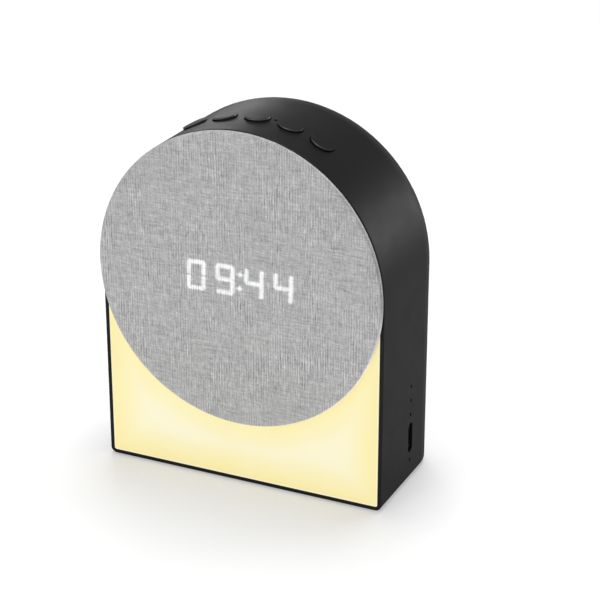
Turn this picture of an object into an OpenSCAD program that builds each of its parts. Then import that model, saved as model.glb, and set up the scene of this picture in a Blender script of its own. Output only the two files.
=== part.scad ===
// Bedside clock: an arched case with a warm light panel low on its front, a round fabric disc over
// the upper front with a display behind the weave, and five round buttons along the top of the arch.
// Millimetres, +Z up, front towards -Y, origin at the middle of the whole object's footprint.

/* [Case] */
// Width of the case, which is also the diameter of its arched top and of the fabric disc
body_w = 120; // [118:0.5:130]
// Height of the arch centre above the underside of the case
arch_h = 86.5; // [85:0.5:96]
// Depth of the case from its front edge to its back
body_d = 60; // [58:0.5:70]
// Wall thickness of the case
wall = 2.2; // [1.9:0.1:2.5]
// Width of the thin edge that shows around the front opening
lip_w = 1.5; // [1.3:0.1:1.7]
// Radius of the back edge round the arch and down both sides
back_r = 18; // [14:0.5:19]
// Radius of the bottom side edges and of the bottom back edge
base_r = 2.5; // [1.5:0.1:3]
// Radius of the front edge
front_r = 0.4; // [0.2:0.1:0.6]

/* [Fabric disc] */
// How far the disc stands in front of the case
disc_proud = 3; // [2.8:0.1:3.6]
// Shadow gap between the back of the disc and the front edge of the case
disc_gap = 0.4; // [0.2:0.1:0.6]
// Thickness of the fabric with its glue
fabric_t = 0.6; // [0.4:0.1:0.7]
// Radius of the disc's front edge
disc_edge_r = 0.7; // [0.65:0.05:1]
// Width of the fabric that is folded behind the disc
hem_w = 7; // [5:0.5:8]
// Diameter of each sound hole in the disc plate
sound_hole_d = 2.2; // [1.6:0.1:2.4]
// Distance between neighbouring sound holes
sound_pitch = 3.6; // [3.2:0.1:4.5]

/* [Light panel] */
// Thickness of the opal front panel
panel_t = 2; // [1.6:0.1:2.5]
// How far the panel sits behind the front edge of the case
panel_recess = 0.3; // [0.1:0.1:0.5]
// Gap round the edge of the panel
panel_gap = 0.1; // [0.05:0.05:0.2]
// Thickness of the tape that holds the panel
tape_t = 0.3; // [0.2:0.05:0.4]
// Distance from the rim of the disc in to the light box's round wall
light_overlap = 8; // [7.5:0.5:9]
// Thickness of the inner frame's front plate
frame_t = 2.4; // [2:0.1:3]
// Thickness of the light box's walls and floor
box_wall = 1.4; // [1.2:0.1:1.8]
// Depth of the light box behind the front plate
box_depth = 17; // [14:0.5:18]
// Distance between neighbouring lamps on the light board
lamp_pitch = 14; // [12:1:16]

/* [Display] */
// Outside width of one digit
digit_w = 7.9; // [7:0.1:8.2]
// Outside height of one digit
digit_h = 12.4; // [11:0.1:13]
// Distance between neighbouring digits
digit_pitch = 12.3; // [12.1:0.1:12.5]
// Width of one segment
stroke = 1.5; // [1.2:0.1:1.7]
// How far the display's middle lies to the right of the disc's middle
display_x = 1.5; // [-2:0.5:2]
// How far the display's middle lies above the disc's middle
display_z = 0.6; // [0:0.2:2]

/* [Buttons] */
// Diameter of a button
button_d = 9.7; // [9.5:0.1:11]
// Gap between a button and its hole in the case
button_gap = 0.3; // [0.2:0.05:0.4]
// How far a button stands out of the arch
button_proud = 1; // [0.6:0.1:1]
// Radius of a button's top edge
button_edge_r = 0.5; // [0.3:0.05:0.5]
// Distance from the front edge of the case to the row of buttons
button_y = 17; // [16:0.5:19]
// Distance between neighbouring buttons, measured round the arch
button_pitch = 13.9; // [13.8:0.1:14.6]
// Travel of a button
button_travel = 0.5; // [0.3:0.1:0.5]

/* [Side ports] */
// Distance from the front edge of the case to the line of side openings
port_y = 29.4; // [29:0.2:31]
// Height of the charging slot's middle above the underside of the case
slot_z = 18.8; // [17.6:0.2:19]
// Length of the charging slot
slot_l = 12.8; // [11.5:0.1:13]
// Width of the charging slot
slot_w = 4.2; // [4:0.1:4.6]
// Diameter of the small round openings
pinhole_d = 1.5; // [1.4:0.1:1.8]
// Height of the middle indicator opening above the underside of the case
indicator_z = 35.1; // [34.2:0.1:36]
// Distance between neighbouring indicator openings
indicator_pitch = 6.1; // [5.5:0.1:6.5]
// Height of the reset opening above the underside of the case
reset_z = 9.1; // [8.4:0.1:9.2]
// Travel of the reset switch
reset_travel = 0.3; // [0.2:0.05:0.4]
// Distance behind the front edge of the case of the microphone's opening
mic_y = 18.4; // [17:0.2:19]

/* [Speaker] */
// Gap between the speaker and the display above it
speaker_top_gap = 1.8; // [1.2:0.2:4]
// Depth of the speaker behind its flange
speaker_depth = 19; // [17:0.5:21]
// Thickness of the foam ring in front of the speaker
gasket_t = 0.8; // [0.5:0.1:1.2]

/* [Battery] */
// Diameter of the rechargeable cell
cell_d = 18.4; // [18:0.1:18.6]
// Length of the rechargeable cell
cell_l = 65; // [64:0.5:66]
// Height of the cell's middle above the underside of the case
cell_z = 27.5; // [27:0.5:30]

/* [Boards] */
// Thickness of every circuit board
board_t = 1.6; // [1.2:0.1:1.6]
// Width of the main board
main_w = 50; // [48:1:51]
// Height of the main board
main_h = 58; // [56:1:60]
// Length of the posts that carry the main board on the back wall
main_post_l = 11.8; // [10:0.2:13]
// Width of the power board
power_w = 14; // [13.5:0.1:14.5]
// Height of the power board
power_h = 43; // [42:0.5:45]

/* [Feet] */
// Diameter of a rubber foot
foot_d = 10; // [8:0.5:12]
// Thickness of a rubber foot
foot_t = 1.4; // [1.2:0.1:1.5]
// How far a foot stands below the case
foot_proud = 0.4; // [0.3:0.1:0.6]

/* [Hidden] */
$fn = 96;
tiny_fn = 32;
overrun = 1;

// Shared clearances
frame_gap = 0.25;
seat_gap = 0.1;
bore_gap = 0.05;

// Case
case_r = body_w / 2;
inner_r = case_r - wall;
back_in_y = body_d - wall;
front_y = -(body_d - disc_proud) / 2;

// Layers behind the case's front edge, from front to back
disc_front_y = -disc_proud;
plate_front_y = disc_front_y + fabric_t;
disc_plate_t = disc_proud - disc_gap - 2 * fabric_t;
plate_back_y = plate_front_y + disc_plate_t;
hem_back_y = plate_back_y + fabric_t;
panel_back_y = panel_recess + panel_t;
frame_front_y = panel_back_y + tape_t;
frame_back_y = frame_front_y + frame_t;
box_back_y = frame_back_y + box_depth;
lamp_floor_y = box_back_y - box_wall;
lamp_board_y = lamp_floor_y - board_t;

// Light box and panel
frame_inset = wall + frame_gap;
window_inset = frame_inset + box_wall;
ring_out_r = case_r - light_overlap;
ring_in_r = ring_out_r - box_wall;
light_top_drop = 4;
light_top = arch_h - light_top_drop;
panel_top_drop = 2;
panel_hole_gap = 0.5;
panel_hole_r = ring_in_r - panel_hole_gap;
tape_edge = 0.2;
lamp_edge = 5.5;
lamp_row_z = 10;
lamp_w = 3.5;
lamp_h = 2.8;
lamp_t = 0.8;
horn_lamp_z = 64;
horn_lamp_edge = 3.5;
lamp_board_gap = 0.5;
lamp_columns = floor((case_r - window_inset - lamp_edge) / lamp_pitch - 0.5);
lamp_xs = [for (i = [-lamp_columns - 1 : lamp_columns]) (i + 0.5) * lamp_pitch];
lamp_zs = [for (z = [lamp_row_z : lamp_pitch : light_top - lamp_pitch]) z];
lamp_spots = [
  for (x = lamp_xs, z = lamp_zs)
    if (norm([x, z - arch_h]) > ring_out_r + lamp_edge) [x, z]
];
horn_lamp_x = case_r - window_inset - horn_lamp_edge;

// Disc plate
collar_gap = 0.6;
collar_t = 2;
collar_r = panel_hole_r - collar_gap;
disc_boss_d = 6;
disc_boss_gap = 2.5;
disc_boss_r = collar_r - collar_t - disc_boss_gap - disc_boss_d / 2;
disc_angles = [45, 135, 225, 315];

// Display
display_edge_x = 2.9;
display_edge_z = 2.3;
display_w = 3 * digit_pitch + digit_w + 2 * display_edge_x;
display_h = digit_h + 2 * display_edge_z;
display_face_y = plate_front_y + seat_gap;
display_gap = 0.2;
display_ear_w = 5.5;
display_board_gap = 0.3;
display_board_w = display_w + 2 * display_ear_w;
display_board_h = display_h + 2 * display_board_gap;
display_board_t = 1.2;
display_screw_x = display_w / 2 + display_ear_w / 2;
segment_gap = 0.25;
segment_fill_share = 0.85;
slant = 2;
colon_d = 1.7;
colon_rise = 2.9;
// Segments of a digit are numbered from the top one, clockwise, with the middle one last
DIGIT_SEGMENTS = [
  [1, 1, 1, 1, 1, 1, 0], [1, 1, 1, 1, 0, 1, 1], [0, 1, 1, 0, 0, 1, 1], [0, 1, 1, 0, 0, 1, 1]
];

// Speaker
speaker_gap = 0.6;
speaker_top = display_z - display_board_h / 2 - speaker_top_gap;
speaker_d = ring_in_r - speaker_gap + speaker_top;
speaker_r = speaker_d / 2;
speaker_drop = ring_in_r - speaker_gap - speaker_r;
speaker_z = arch_h - speaker_drop;
speaker_y = frame_back_y + gasket_t;
speaker_flange_t = 1;
speaker_rim_w = 3.6;
speaker_open_r = speaker_r - speaker_rim_w;
speaker_ear_r = 2.8;
speaker_screw_r = speaker_r + 1.6;
speaker_ear_angles = [-25, 25, 155, 205];
basket_t = 0.8;
basket_back_r = 0.57 * speaker_r;
basket_depth = 9;
basket_window_w = 9;
magnet_r = 0.55 * speaker_r;
magnet_plate_t = 1.5;
magnet_back_r = 0.5 * speaker_r;
roll_r = 1.1;
roll_t = 0.3;
surround_lip = 1;
surround_out_r = speaker_open_r - roll_t + surround_lip;
basket_in_r = surround_out_r + bore_gap;
cone_t = 0.4;
cone_depth = 5;
cap_r = 0.28 * speaker_r;
cap_rise = 1.6;
tag_w = 8;
tag_d = 3;
tag_h = 2.4;

// Buttons, measured outwards from the arch's centre line
arch_turn = 360 / (PI * body_w);
button_step = button_pitch * arch_turn;
end_step = 2 * button_step;
button_angles = [for (i = [2 : -1 : -2]) 90 + i * button_step];
button_r = button_d / 2;
button_top_r = case_r + button_proud;
// Rise of the rounded edge's top over the arched face, which cuts it
button_crease = 0.03;
button_hole_d = button_d + 2 * button_gap;
wing_w = 6;
wing_l = 13.4;
wing_t = 1;
wing_gap = 0.4;
wing_top_r = sqrt(inner_r * inner_r - wing_w * wing_w / 4) - wing_gap;
wing_low_r = wing_top_r - wing_t;
guide_gap = 0.3;
guide_t = 1.6;
guide_top_r = wing_low_r - button_travel - guide_gap;
guide_low_r = guide_top_r - guide_t;
stem_d = 3.6;
stem_gap = 0.08;
plunger_d = 3.4;
plunger_gap = 0.08;
plunger_proud = 1;
plunger_l = 2.2;
plunger_drop = 1;
plunger_top_r = guide_low_r - plunger_drop;
switch_w = 6;
switch_t = 3.5;
switch_top_r = plunger_top_r - plunger_proud;
switch_low_r = switch_top_r - switch_t;
pocket_slack = 0.4;
flex_t = 0.3;
solder_t = 0.1;
flex_top_r = switch_low_r - solder_t;
flex_low_r = flex_top_r - flex_t;
carrier_t = 1.9;
carrier_low_r = flex_low_r - carrier_t;
bracket_l = 16;
bracket_y = button_y - bracket_l / 2;
flex_l = 13;
flex_y = button_y - flex_l / 2;
bracket_end = 17.2;
flex_end = 7.8;
leg_end = 10.4;
bracket_screw_end = 13.6;
bracket_reach = end_step + bracket_end * arch_turn;
flex_reach = end_step + flex_end * arch_turn;
leg_reach = end_step + leg_end * arch_turn;
bracket_screw_reach = end_step + bracket_screw_end * arch_turn;
bracket_boss_d = 6;
boss_bite = 0.6;

// Microphone between the third and the fourth button
mic_angle = 90 - 0.5 * button_step;
mic_d = 4;
mic_t = 1.6;
mic_hole_d = 1.5;
boot_d = 2;
boot_bore_d = 1.2;
boot_gap = 0.15;

// Screws: one set for the case and one for everything inside
case_screw_d = 2.9;
case_head_d = 5.6;
case_head_t = 2.2;
case_screw_l = 12;
small_screw_d = 1.9;
small_head_d = 3.6;
small_head_t = 1.2;
small_screw_l = 5;
short_screw_l = 3.5;
bracket_screw_l = 12;
pilot_extra = 1.5;
recess_w = 0.8;
recess_depth_share = 0.6;
recess_length_share = 0.6;
hole_slack = 0.3;

// Posts between the inner frame and the back of the case
post_d = 7.5;
post_edge = 4.8;
post_angle = 54;
post_low_z = 8;
post_side_gap = 0.6;
screw_sink = 4.4;
sink_gap = 0.5;
sink_floor_t = 2.8;
sink_boss_d = 9.4;
sink_y = body_d - screw_sink;
post_back_y = sink_y - sink_floor_t;
post_r = case_r - back_r - post_edge;
post_top_x = post_r * cos(post_angle);
post_top_z = arch_h + post_r * sin(post_angle);
power_side_gap = 1;
power_x = inner_r - power_side_gap - power_w;
post_low_x = power_x - post_side_gap - post_d / 2;
post_spots = [
  [post_top_x, post_top_z],
  [-post_top_x, post_top_z],
  [post_low_x, post_low_z],
  [-post_low_x, post_low_z]
];

// Main board on posts from the back wall
main_post_gap = 1;
main_top = post_top_z - post_d / 2 - main_post_gap;
main_z = main_top - main_h;
main_back_y = back_in_y - main_post_l;
main_front_y = main_back_y - board_t;
board_hole_edge = 3.5;
board_post_d = 5.5;
main_holes = [
  for (s = [-1, 1], z = [board_hole_edge, main_h - board_hole_edge])
    [s * (main_w / 2 - board_hole_edge), main_z + z]
];

// Charging port, indicator lamps and reset switch on the power board
usb_w = 8.94;
usb_t = 3.26;
usb_l = 7.35;
usb_wall = 0.3;
usb_recess = 0.8;
tongue_w = 6.7;
tongue_t = 0.7;
tongue_l = 4.5;
usb_plug_l = 2;
power_front_y = port_y + usb_t / 2;
power_back_y = power_front_y + board_t;
power_low = 4.4;
power_hole_x = power_x + board_hole_edge;
power_hole_low = 5.6;
power_hole_zs = [power_low + power_hole_low, power_low + power_h - board_hole_edge];
indicator_w = 1.6;
indicator_lift = 2.2;
pipe_slack = 0.1;
pipe_bar_t = 0.8;
pipe_bar_gap = 0.1;
pipe_bar_w = 2.4;
pipe_sink = 0.5;
pipe_lamp_gap = 0.15;
indicator_zs = [for (i = [-1 : 1]) indicator_z + i * indicator_pitch];
reset_w = 4.6;
reset_t = 2.6;
reset_l = 3.4;
reset_nose_d = 1.4;
reset_nose_l = 1.6;
reset_nose_proud = 0.9;

// Coin cell and the larger parts of the main board, placed from the middle of its top edge
coin_d = 20;
coin_t = 3.2;
coin_lift = 0.6;
coin_x = -13;
coin_down = 15.5;
holder_d = 23;
holder_t = 3.4;
can_w = 18;
can_h = 15;
can_t = 2.4;
can_x = -12;
can_down = 35.5;
can_wall = 0.3;
capacitor_d = 6.3;
capacitor_l = 7.7;
capacitor_spots = [[20.5, -33], [20.5, -40.2], [14, -37]];
// Each chip: place across, place up, width, height and thickness
CHIPS = [
  [5, -38, 10, 10, 1.4], [20, -20, 6, 6, 1], [4.5, -14, 4, 5, 1], [20, -12, 5, 4, 1.2], [4.5, -19.5, 4, 3, 1]
];

// Battery cradle and clip
cell_gap = 0.3;
cradle_d = 10.5;
cradle_h = 29;
cradle_end = 1.5;
cradle_back_gap = 0.3;
cradle_back_y = back_in_y - cradle_back_gap;
cradle_front_y = cradle_back_y - cradle_d;
cell_floor = 2;
cell_y = cradle_back_y - cell_floor - cell_gap - cell_d / 2;
cradle_w = cell_l + 2 * cradle_end;
cradle_ear_w = 8;
cradle_ear_t = 1.6;
cradle_ear_h = 8;
cradle_boss_l = 5;
cradle_ear_y = back_in_y - cradle_boss_l - cradle_ear_t;
cradle_screw_x = cradle_w / 2 + cradle_ear_w / 2;
clip_w = 10;
clip_t = 0.9;
clip_in_r = cell_d / 2 + cell_gap;
clip_out_r = clip_in_r + clip_t;
clip_reach = cradle_h / 2 - 0.4;
clip_screw_z = (clip_out_r + clip_reach) / 2;
nub_d = 5;
nub_l = 1;

// Ribbons and their connectors
connector_t = 3;
ribbon_t = 0.2;
ribbon_w = 8;
ribbon_bend = 3;
ribbon_lift = 1.4;
ribbon_lap = 0.05;
ribbon_socket_w = 10;
ribbon_socket_h = 4.5;
ribbon_depth = 2.15;
display_tail_x = 12;
display_tail_z = 4;
display_loop = 7;
button_end_down = 4;
display_end_down = 30;

// Leads and their connectors: a pair of wires on a smooth curve that leaves each end square
lead_socket_w = 7;
lead_socket_h = 5;
lead_socket_x = 13;
speaker_socket_x = 2.5;
speaker_socket_down = 26;
lead_d = 1.3;
lead_spread = 1.5;
lead_sides = 8;
lead_steps = 9;
light_lead_share = 0.9;
light_lead_reach = light_lead_share * (cell_y - cell_d / 2 - lamp_floor_y);
speaker_lead_reach = 10;
power_lead_reach = 14;
battery_lead_reach = 10;
light_slot_w = 8;
light_slot_x = -28;
light_slot_z = lamp_row_z + lamp_pitch / 2;
power_socket_x = power_x + power_w / 2;
power_socket_up = 29.6;
power_socket_z = power_low + power_socket_up;
battery_socket_up = 18.1;
battery_socket_z = power_low + battery_socket_up;
battery_tab_front = 4;
battery_tab_y = cell_y - battery_tab_front;
battery_tab_up = 3.5;
battery_tab_z = cell_z + battery_tab_up;

// Feet
foot_gap = 0.2;
foot_side = 12;
foot_front_y = 9;
foot_back_y = 48;
foot_spots = [
  for (s = [-1, 1], y = [foot_front_y, foot_back_y]) [s * (case_r - foot_side), y]
];

// Moves a piece drawn behind the case's front edge and above its underside into the part's frame
module place() translate([0, front_y, foot_proud]) children();

// Extrudes an outline seen from the front, from y back by the given depth
module from_front(y, depth) {
  translate([0, y + depth, 0]) rotate([90, 0, 0]) linear_extrude(depth) children();
}

// Extrudes an outline drawn as depth and height, across the case from x
module across(x, width) translate([x, 0, 0]) rotate([90, 0, 90]) linear_extrude(width) children();

// Turns an outline drawn as radius and depth about a line that runs front to back
module about_depth(x, z) translate([x, 0, z]) rotate([-90, 0, 0]) rotate_extrude() children();

// Stands a piece on the arch: its Z runs outwards through the given angle, from the arch's centre
module on_arch(angle, y) translate([0, y, arch_h]) rotate([0, 90 - angle, 0]) children();

// Cylinder that runs from y backwards
module rod_back(x, y, z, length, d) {
  translate([x, y, z]) rotate([-90, 0, 0]) cylinder(d = d, h = length);
}

// Cylinder that runs from x to the right
module rod_right(x, y, z, length, d) {
  translate([x, y, z]) rotate([0, 90, 0]) cylinder(d = d, h = length);
}

module quarter_disc(r) {
  intersection() {
    circle(r);
    square(r);
  }
}

// Outline of the case from the front, drawn in by an inset
module arch_2d(inset) {
  r = case_r - inset;
  c = max(base_r - inset, bore_gap);
  intersection() {
    translate([0, arch_h]) circle(r);
    translate([-r, arch_h]) square([2 * r, r]);
  }
  translate([-r, inset + c]) square([2 * r, arch_h - inset - c]);
  translate([-r + c, inset]) square([2 * (r - c), c]);
  for (s = [-1, 1])
    translate([s * (r - c), inset + c]) mirror([s > 0 ? 0 : 1, 0]) mirror([0, 1]) quarter_disc(c);
}

// Outline of the case from above, drawn in by an inset at the sides and the back
module plan_2d(inset, front, corner) {
  r = case_r - inset;
  b = back_r - inset;
  translate([-r, front + corner]) square([2 * r, body_d - back_r - front - corner]);
  translate([-(r - corner), front]) square([2 * (r - corner), corner]);
  translate([-(r - b), body_d - back_r]) square([2 * (r - b), b]);
  for (s = [-1, 1]) {
    translate([s * (r - b), body_d - back_r]) mirror([s > 0 ? 0 : 1, 0]) quarter_disc(b);
    translate([s * (r - corner), front + corner]) mirror([s > 0 ? 0 : 1, 0]) mirror([0, 1])
      quarter_disc(corner);
  }
}

// Upper half of the case as a solid of revolution
module arch_half(inset, front, corner) {
  r = case_r - inset;
  b = back_r - inset;
  translate([0, 0, arch_h]) rotate([-90, 0, 0]) rotate([0, 0, 180]) rotate_extrude(angle = 180) {
    translate([0, front]) square([r - corner, corner]);
    translate([0, front + corner]) square([r, body_d - back_r - front - corner]);
    translate([0, body_d - back_r]) square([r - b, b]);
    translate([r - b, body_d - back_r]) quarter_disc(b);
    translate([r - corner, front + corner]) mirror([0, 1]) quarter_disc(corner);
  }
}

// Outer form of the case
module case_outer() {
  arch_half(0, 0, front_r);
  translate([0, 0, base_r]) linear_extrude(arch_h - base_r) plan_2d(0, 0, front_r);
  flat_w = 2 * (case_r - base_r);
  side_l = body_d - back_r - front_r;
  linear_extrude(base_r) {
    translate([-flat_w / 2, front_r]) square([flat_w, side_l]);
    translate([-(case_r - back_r), body_d - back_r]) square([2 * (case_r - back_r), back_r - base_r]);
    for (s = [-1, 1])
      translate([s * (case_r - back_r), body_d - back_r]) mirror([s > 0 ? 0 : 1, 0])
        quarter_disc(back_r - base_r);
  }
  for (s = [-1, 1]) mirror([s > 0 ? 0 : 1, 0, 0]) {
    from_front(front_r, side_l)
      translate([case_r - base_r, base_r]) mirror([0, 1]) quarter_disc(base_r);
    translate([case_r - back_r, body_d - back_r, base_r]) rotate_extrude(angle = 90)
      translate([back_r - base_r, 0]) mirror([0, 1]) quarter_disc(base_r);
    translate([case_r - base_r, 0, base_r]) rotate([-90, 0, 0]) rotate_extrude(angle = 90) {
      square([base_r - front_r, front_r]);
      translate([base_r - front_r, front_r]) mirror([0, 1]) quarter_disc(front_r);
    }
  }
  across(-(case_r - back_r), 2 * (case_r - back_r))
    translate([body_d - base_r, base_r]) mirror([0, 1]) quarter_disc(base_r);
  across(-flat_w / 2, flat_w) {
    translate([0, front_r]) square([front_r, base_r - front_r]);
    translate([front_r, front_r]) mirror([1, 0]) mirror([0, 1]) quarter_disc(front_r);
  }
}

// Hollow of the case, open to the front
module case_hollow() {
  arch_half(wall, -overrun, overrun / 2);
  translate([0, 0, wall]) linear_extrude(arch_h - wall) plan_2d(wall, -overrun, overrun / 2);
  from_front(-overrun, frame_front_y + overrun) arch_2d(lip_w);
}

// Pan head screw along Z: the head sits on z = 0 and the shank points down
module screw(d, length, head_d, head_t) {
  difference() {
    union() {
      cylinder(d = head_d, h = head_t);
      translate([0, 0, -length]) cylinder(d = d, h = length);
    }
    recess_l = recess_length_share * head_d;
    for (a = [0, 90])
      rotate([0, 0, a])
        translate([-recess_l / 2, -recess_w / 2, head_t * (1 - recess_depth_share)])
          cube([recess_l, recess_w, head_t]);
  }
}

module small_screw(length) screw(small_screw_d, length, small_head_d, small_head_t);

// Screws driven forwards from behind: the head sits on the plane y
module screw_from_back(x, y, z) translate([x, y, z]) rotate([-90, 0, 0]) small_screw(small_screw_l);
module short_from_back(x, y, z) translate([x, y, z]) rotate([-90, 0, 0]) small_screw(short_screw_l);

// Screws driven backwards from the front: the head sits on the plane y
module screw_from_front(x, y, z) translate([x, y, z]) rotate([90, 0, 0]) small_screw(small_screw_l);
module short_from_front(x, y, z) translate([x, y, z]) rotate([90, 0, 0]) small_screw(short_screw_l);

// Bosses inside the case, which only take room from its hollow
module case_bosses() {
  for (p = post_spots) rod_back(p[0], post_back_y, p[1], body_d - post_back_y, sink_boss_d);
  for (p = main_holes) rod_back(p[0], main_back_y, p[1], body_d - main_back_y, board_post_d);
  for (z = power_hole_zs) rod_back(power_hole_x, power_back_y, z, body_d - power_back_y, board_post_d);
  for (s = [-1, 1])
    rod_back(s * cradle_screw_x, back_in_y - cradle_boss_l, cell_z, cradle_boss_l + wall, board_post_d);
  for (s = [-1, 1]) on_arch(90 + s * bracket_screw_reach, button_y) translate([0, 0, guide_top_r])
    cylinder(d = bracket_boss_d, h = case_r - guide_top_r);
}

module housing() color("#242424") place() {
  difference() {
    case_outer();
    difference() {
      case_hollow();
      case_bosses();
    }
    for (a = button_angles)
      on_arch(a, button_y) translate([0, 0, case_r - 2 * wall]) cylinder(d = button_hole_d, h = 3 * wall);
    on_arch(mic_angle, mic_y) translate([0, 0, case_r - 2 * wall]) cylinder(d = mic_hole_d, h = 3 * wall);
    for (z = concat(indicator_zs, [reset_z]))
      rod_right(inner_r - overrun, port_y, z, wall + 2 * overrun, pinhole_d);
    for (s = [-1, 1])
      rod_right(inner_r - overrun, port_y, slot_z + s * (slot_l - slot_w) / 2, wall + 2 * overrun, slot_w);
    translate([inner_r - overrun, port_y - slot_w / 2, slot_z - (slot_l - slot_w) / 2])
      cube([wall + 2 * overrun, slot_w, slot_l - slot_w]);
    for (p = post_spots) {
      rod_back(p[0], sink_y, p[1], screw_sink + overrun, case_head_d + 2 * sink_gap);
      rod_back(p[0], post_back_y - overrun, p[1], body_d - post_back_y, case_screw_d + hole_slack);
    }
    for (p = main_holes) pilot_back(p[0], main_back_y, p[1]);
    for (z = power_hole_zs) pilot_back(power_hole_x, power_back_y, z);
    for (s = [-1, 1]) pilot_back(s * cradle_screw_x, back_in_y - cradle_boss_l, cell_z);
    for (s = [-1, 1]) on_arch(90 + s * bracket_screw_reach, button_y)
      translate([0, 0, carrier_low_r])
        cylinder(d = small_screw_d + 2 * bore_gap, h = bracket_screw_l + recess_w);
    for (p = foot_spots)
      translate([p[0], p[1], -overrun])
        cylinder(d = foot_d + 2 * foot_gap, h = foot_t - foot_proud + overrun);
  }
}

// Blind hole for a small screw in a post, from y backwards
module pilot_back(x, y, z) {
  rod_back(x, y - overrun, z, small_screw_l - board_t + pilot_extra + overrun, small_screw_d + 2 * bore_gap);
}

module rubber_feet() color("#1c1c1c") place()
  for (p = foot_spots) translate([p[0], p[1], -foot_proud]) cylinder(d = foot_d, h = foot_t);

// Part of an outline that lies below a height
module below(z) {
  intersection() {
    children();
    translate([-case_r, 0]) square([body_w, z]);
  }
}

module disc_centre() translate([0, arch_h]) children();

// Opening of the light box: between the outer walls, the round wall and the two upper ends
module light_window_2d() below(light_top - box_wall) difference() {
  arch_2d(window_inset);
  disc_centre() circle(ring_out_r);
}

module display_window_2d(gap) {
  translate([display_x - display_w / 2 - gap, arch_h + display_z - display_h / 2 - gap])
    square([display_w + 2 * gap, display_h + 2 * gap]);
}

module disc_spots() for (a = disc_angles) disc_centre() rotate(a) translate([disc_boss_r, 0]) children();

module speaker_spots() {
  for (a = speaker_ear_angles) translate([0, speaker_z]) rotate(a) translate([speaker_screw_r, 0]) children();
}

module display_spots() {
  for (s = [-1, 1]) translate([display_x + s * display_screw_x, arch_h + display_z]) children();
}

lamp_board_holes = [
  for (s = [-1, 1], p = [[case_r - window_inset - lamp_edge, lamp_row_z + lamp_pitch / 2],
                        [lamp_pitch, lamp_row_z + lamp_pitch / 2]]) [s * p[0], p[1]]
];

module inner_frame() color("#efeee9") place() difference() {
  union() {
    from_front(frame_front_y, frame_t) difference() {
      arch_2d(frame_inset);
      light_window_2d();
      display_window_2d(display_gap);
      translate([0, speaker_z]) circle(speaker_open_r);
    }
    from_front(frame_back_y, box_depth) below(light_top) difference() {
      arch_2d(frame_inset);
      light_window_2d();
      disc_centre() circle(ring_in_r);
    }
    from_front(lamp_floor_y, box_wall) below(light_top) difference() {
      arch_2d(frame_inset);
      disc_centre() circle(ring_in_r);
    }
    for (i = [0 : 3]) {
      start_y = i < 2 ? frame_back_y - boss_bite : lamp_floor_y;
      rod_back(post_spots[i][0], start_y, post_spots[i][1], post_back_y - seat_gap - start_y, post_d);
    }
  }
  from_front(frame_front_y - overrun, frame_t + 2 * overrun) {
    disc_spots() circle(d = small_screw_d + hole_slack);
    display_spots() circle(d = small_screw_d + 2 * bore_gap);
    speaker_spots() circle(d = small_screw_d + 2 * bore_gap);
  }
  for (p = post_spots)
    rod_back(p[0], post_back_y - case_screw_l, p[1], case_screw_l + overrun, case_screw_d + 2 * bore_gap);
  for (p = lamp_board_holes)
    rod_back(p[0], lamp_floor_y - overrun, p[1], box_wall + 2 * overrun, small_screw_d + 2 * bore_gap);
  translate([light_slot_x - light_slot_w / 2, lamp_floor_y - overrun, light_slot_z - lead_socket_h / 2])
    cube([light_slot_w, box_wall + 2 * overrun, lead_socket_h]);
}

module diffuser_panel() color("#fff2bf") place()
  from_front(panel_recess, panel_t) below(arch_h - panel_top_drop) difference() {
    arch_2d(lip_w + panel_gap);
    disc_centre() circle(panel_hole_r);
  }

module panel_tape() color("#f4f4f0") place()
  from_front(panel_back_y, tape_t) below(light_top) difference() {
    arch_2d(frame_inset);
    below(light_top - box_wall) difference() {
      arch_2d(window_inset - tape_edge);
      disc_centre() circle(ring_out_r - tape_edge);
    }
    disc_centre() circle(ring_in_r);
  }

module light_board() color("#f7f7f2") place() difference() {
  from_front(lamp_board_y, board_t) below(light_top - box_wall - lamp_board_gap) difference() {
    arch_2d(window_inset + lamp_board_gap);
    disc_centre() circle(ring_out_r + lamp_board_gap);
  }
  for (p = lamp_board_holes)
    rod_back(p[0], lamp_board_y - overrun, p[1], board_t + 2 * overrun, small_screw_d + hole_slack);
}

module lamp(x, z) translate([x - lamp_w / 2, lamp_board_y - lamp_t, z - lamp_h / 2])
  cube([lamp_w, lamp_t, lamp_h]);

module warm_lamps() color("#ffdf7a") place() {
  for (p = lamp_spots) lamp(p[0], p[1]);
  for (s = [-1, 1]) lamp(s * horn_lamp_x, horn_lamp_z);
}

module disc_plate() color("#2b2b2d") place() {
  rim_r = case_r - fabric_t - seat_gap;
  sound_r = speaker_open_r - sound_hole_d;
  rows = floor(sound_r / sound_pitch);
  difference() {
    union() {
      from_front(plate_front_y, disc_plate_t) disc_centre() circle(rim_r);
      from_front(plate_back_y, frame_front_y - plate_back_y) disc_centre() difference() {
        circle(collar_r);
        circle(collar_r - collar_t);
      }
      from_front(plate_back_y, frame_front_y - plate_back_y) disc_spots() circle(d = disc_boss_d);
    }
    from_front(plate_front_y - overrun, disc_plate_t + 2 * overrun) {
      display_window_2d(display_gap);
      for (i = [-rows : rows], j = [-rows : rows])
        if (norm([i, j]) * sound_pitch < sound_r)
          translate([i * sound_pitch, speaker_z + j * sound_pitch]) circle(d = sound_hole_d, $fn = tiny_fn);
    }
    from_front(plate_front_y + fabric_t, frame_front_y - plate_front_y) disc_spots()
      circle(d = small_screw_d + 2 * bore_gap);
  }
}

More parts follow.
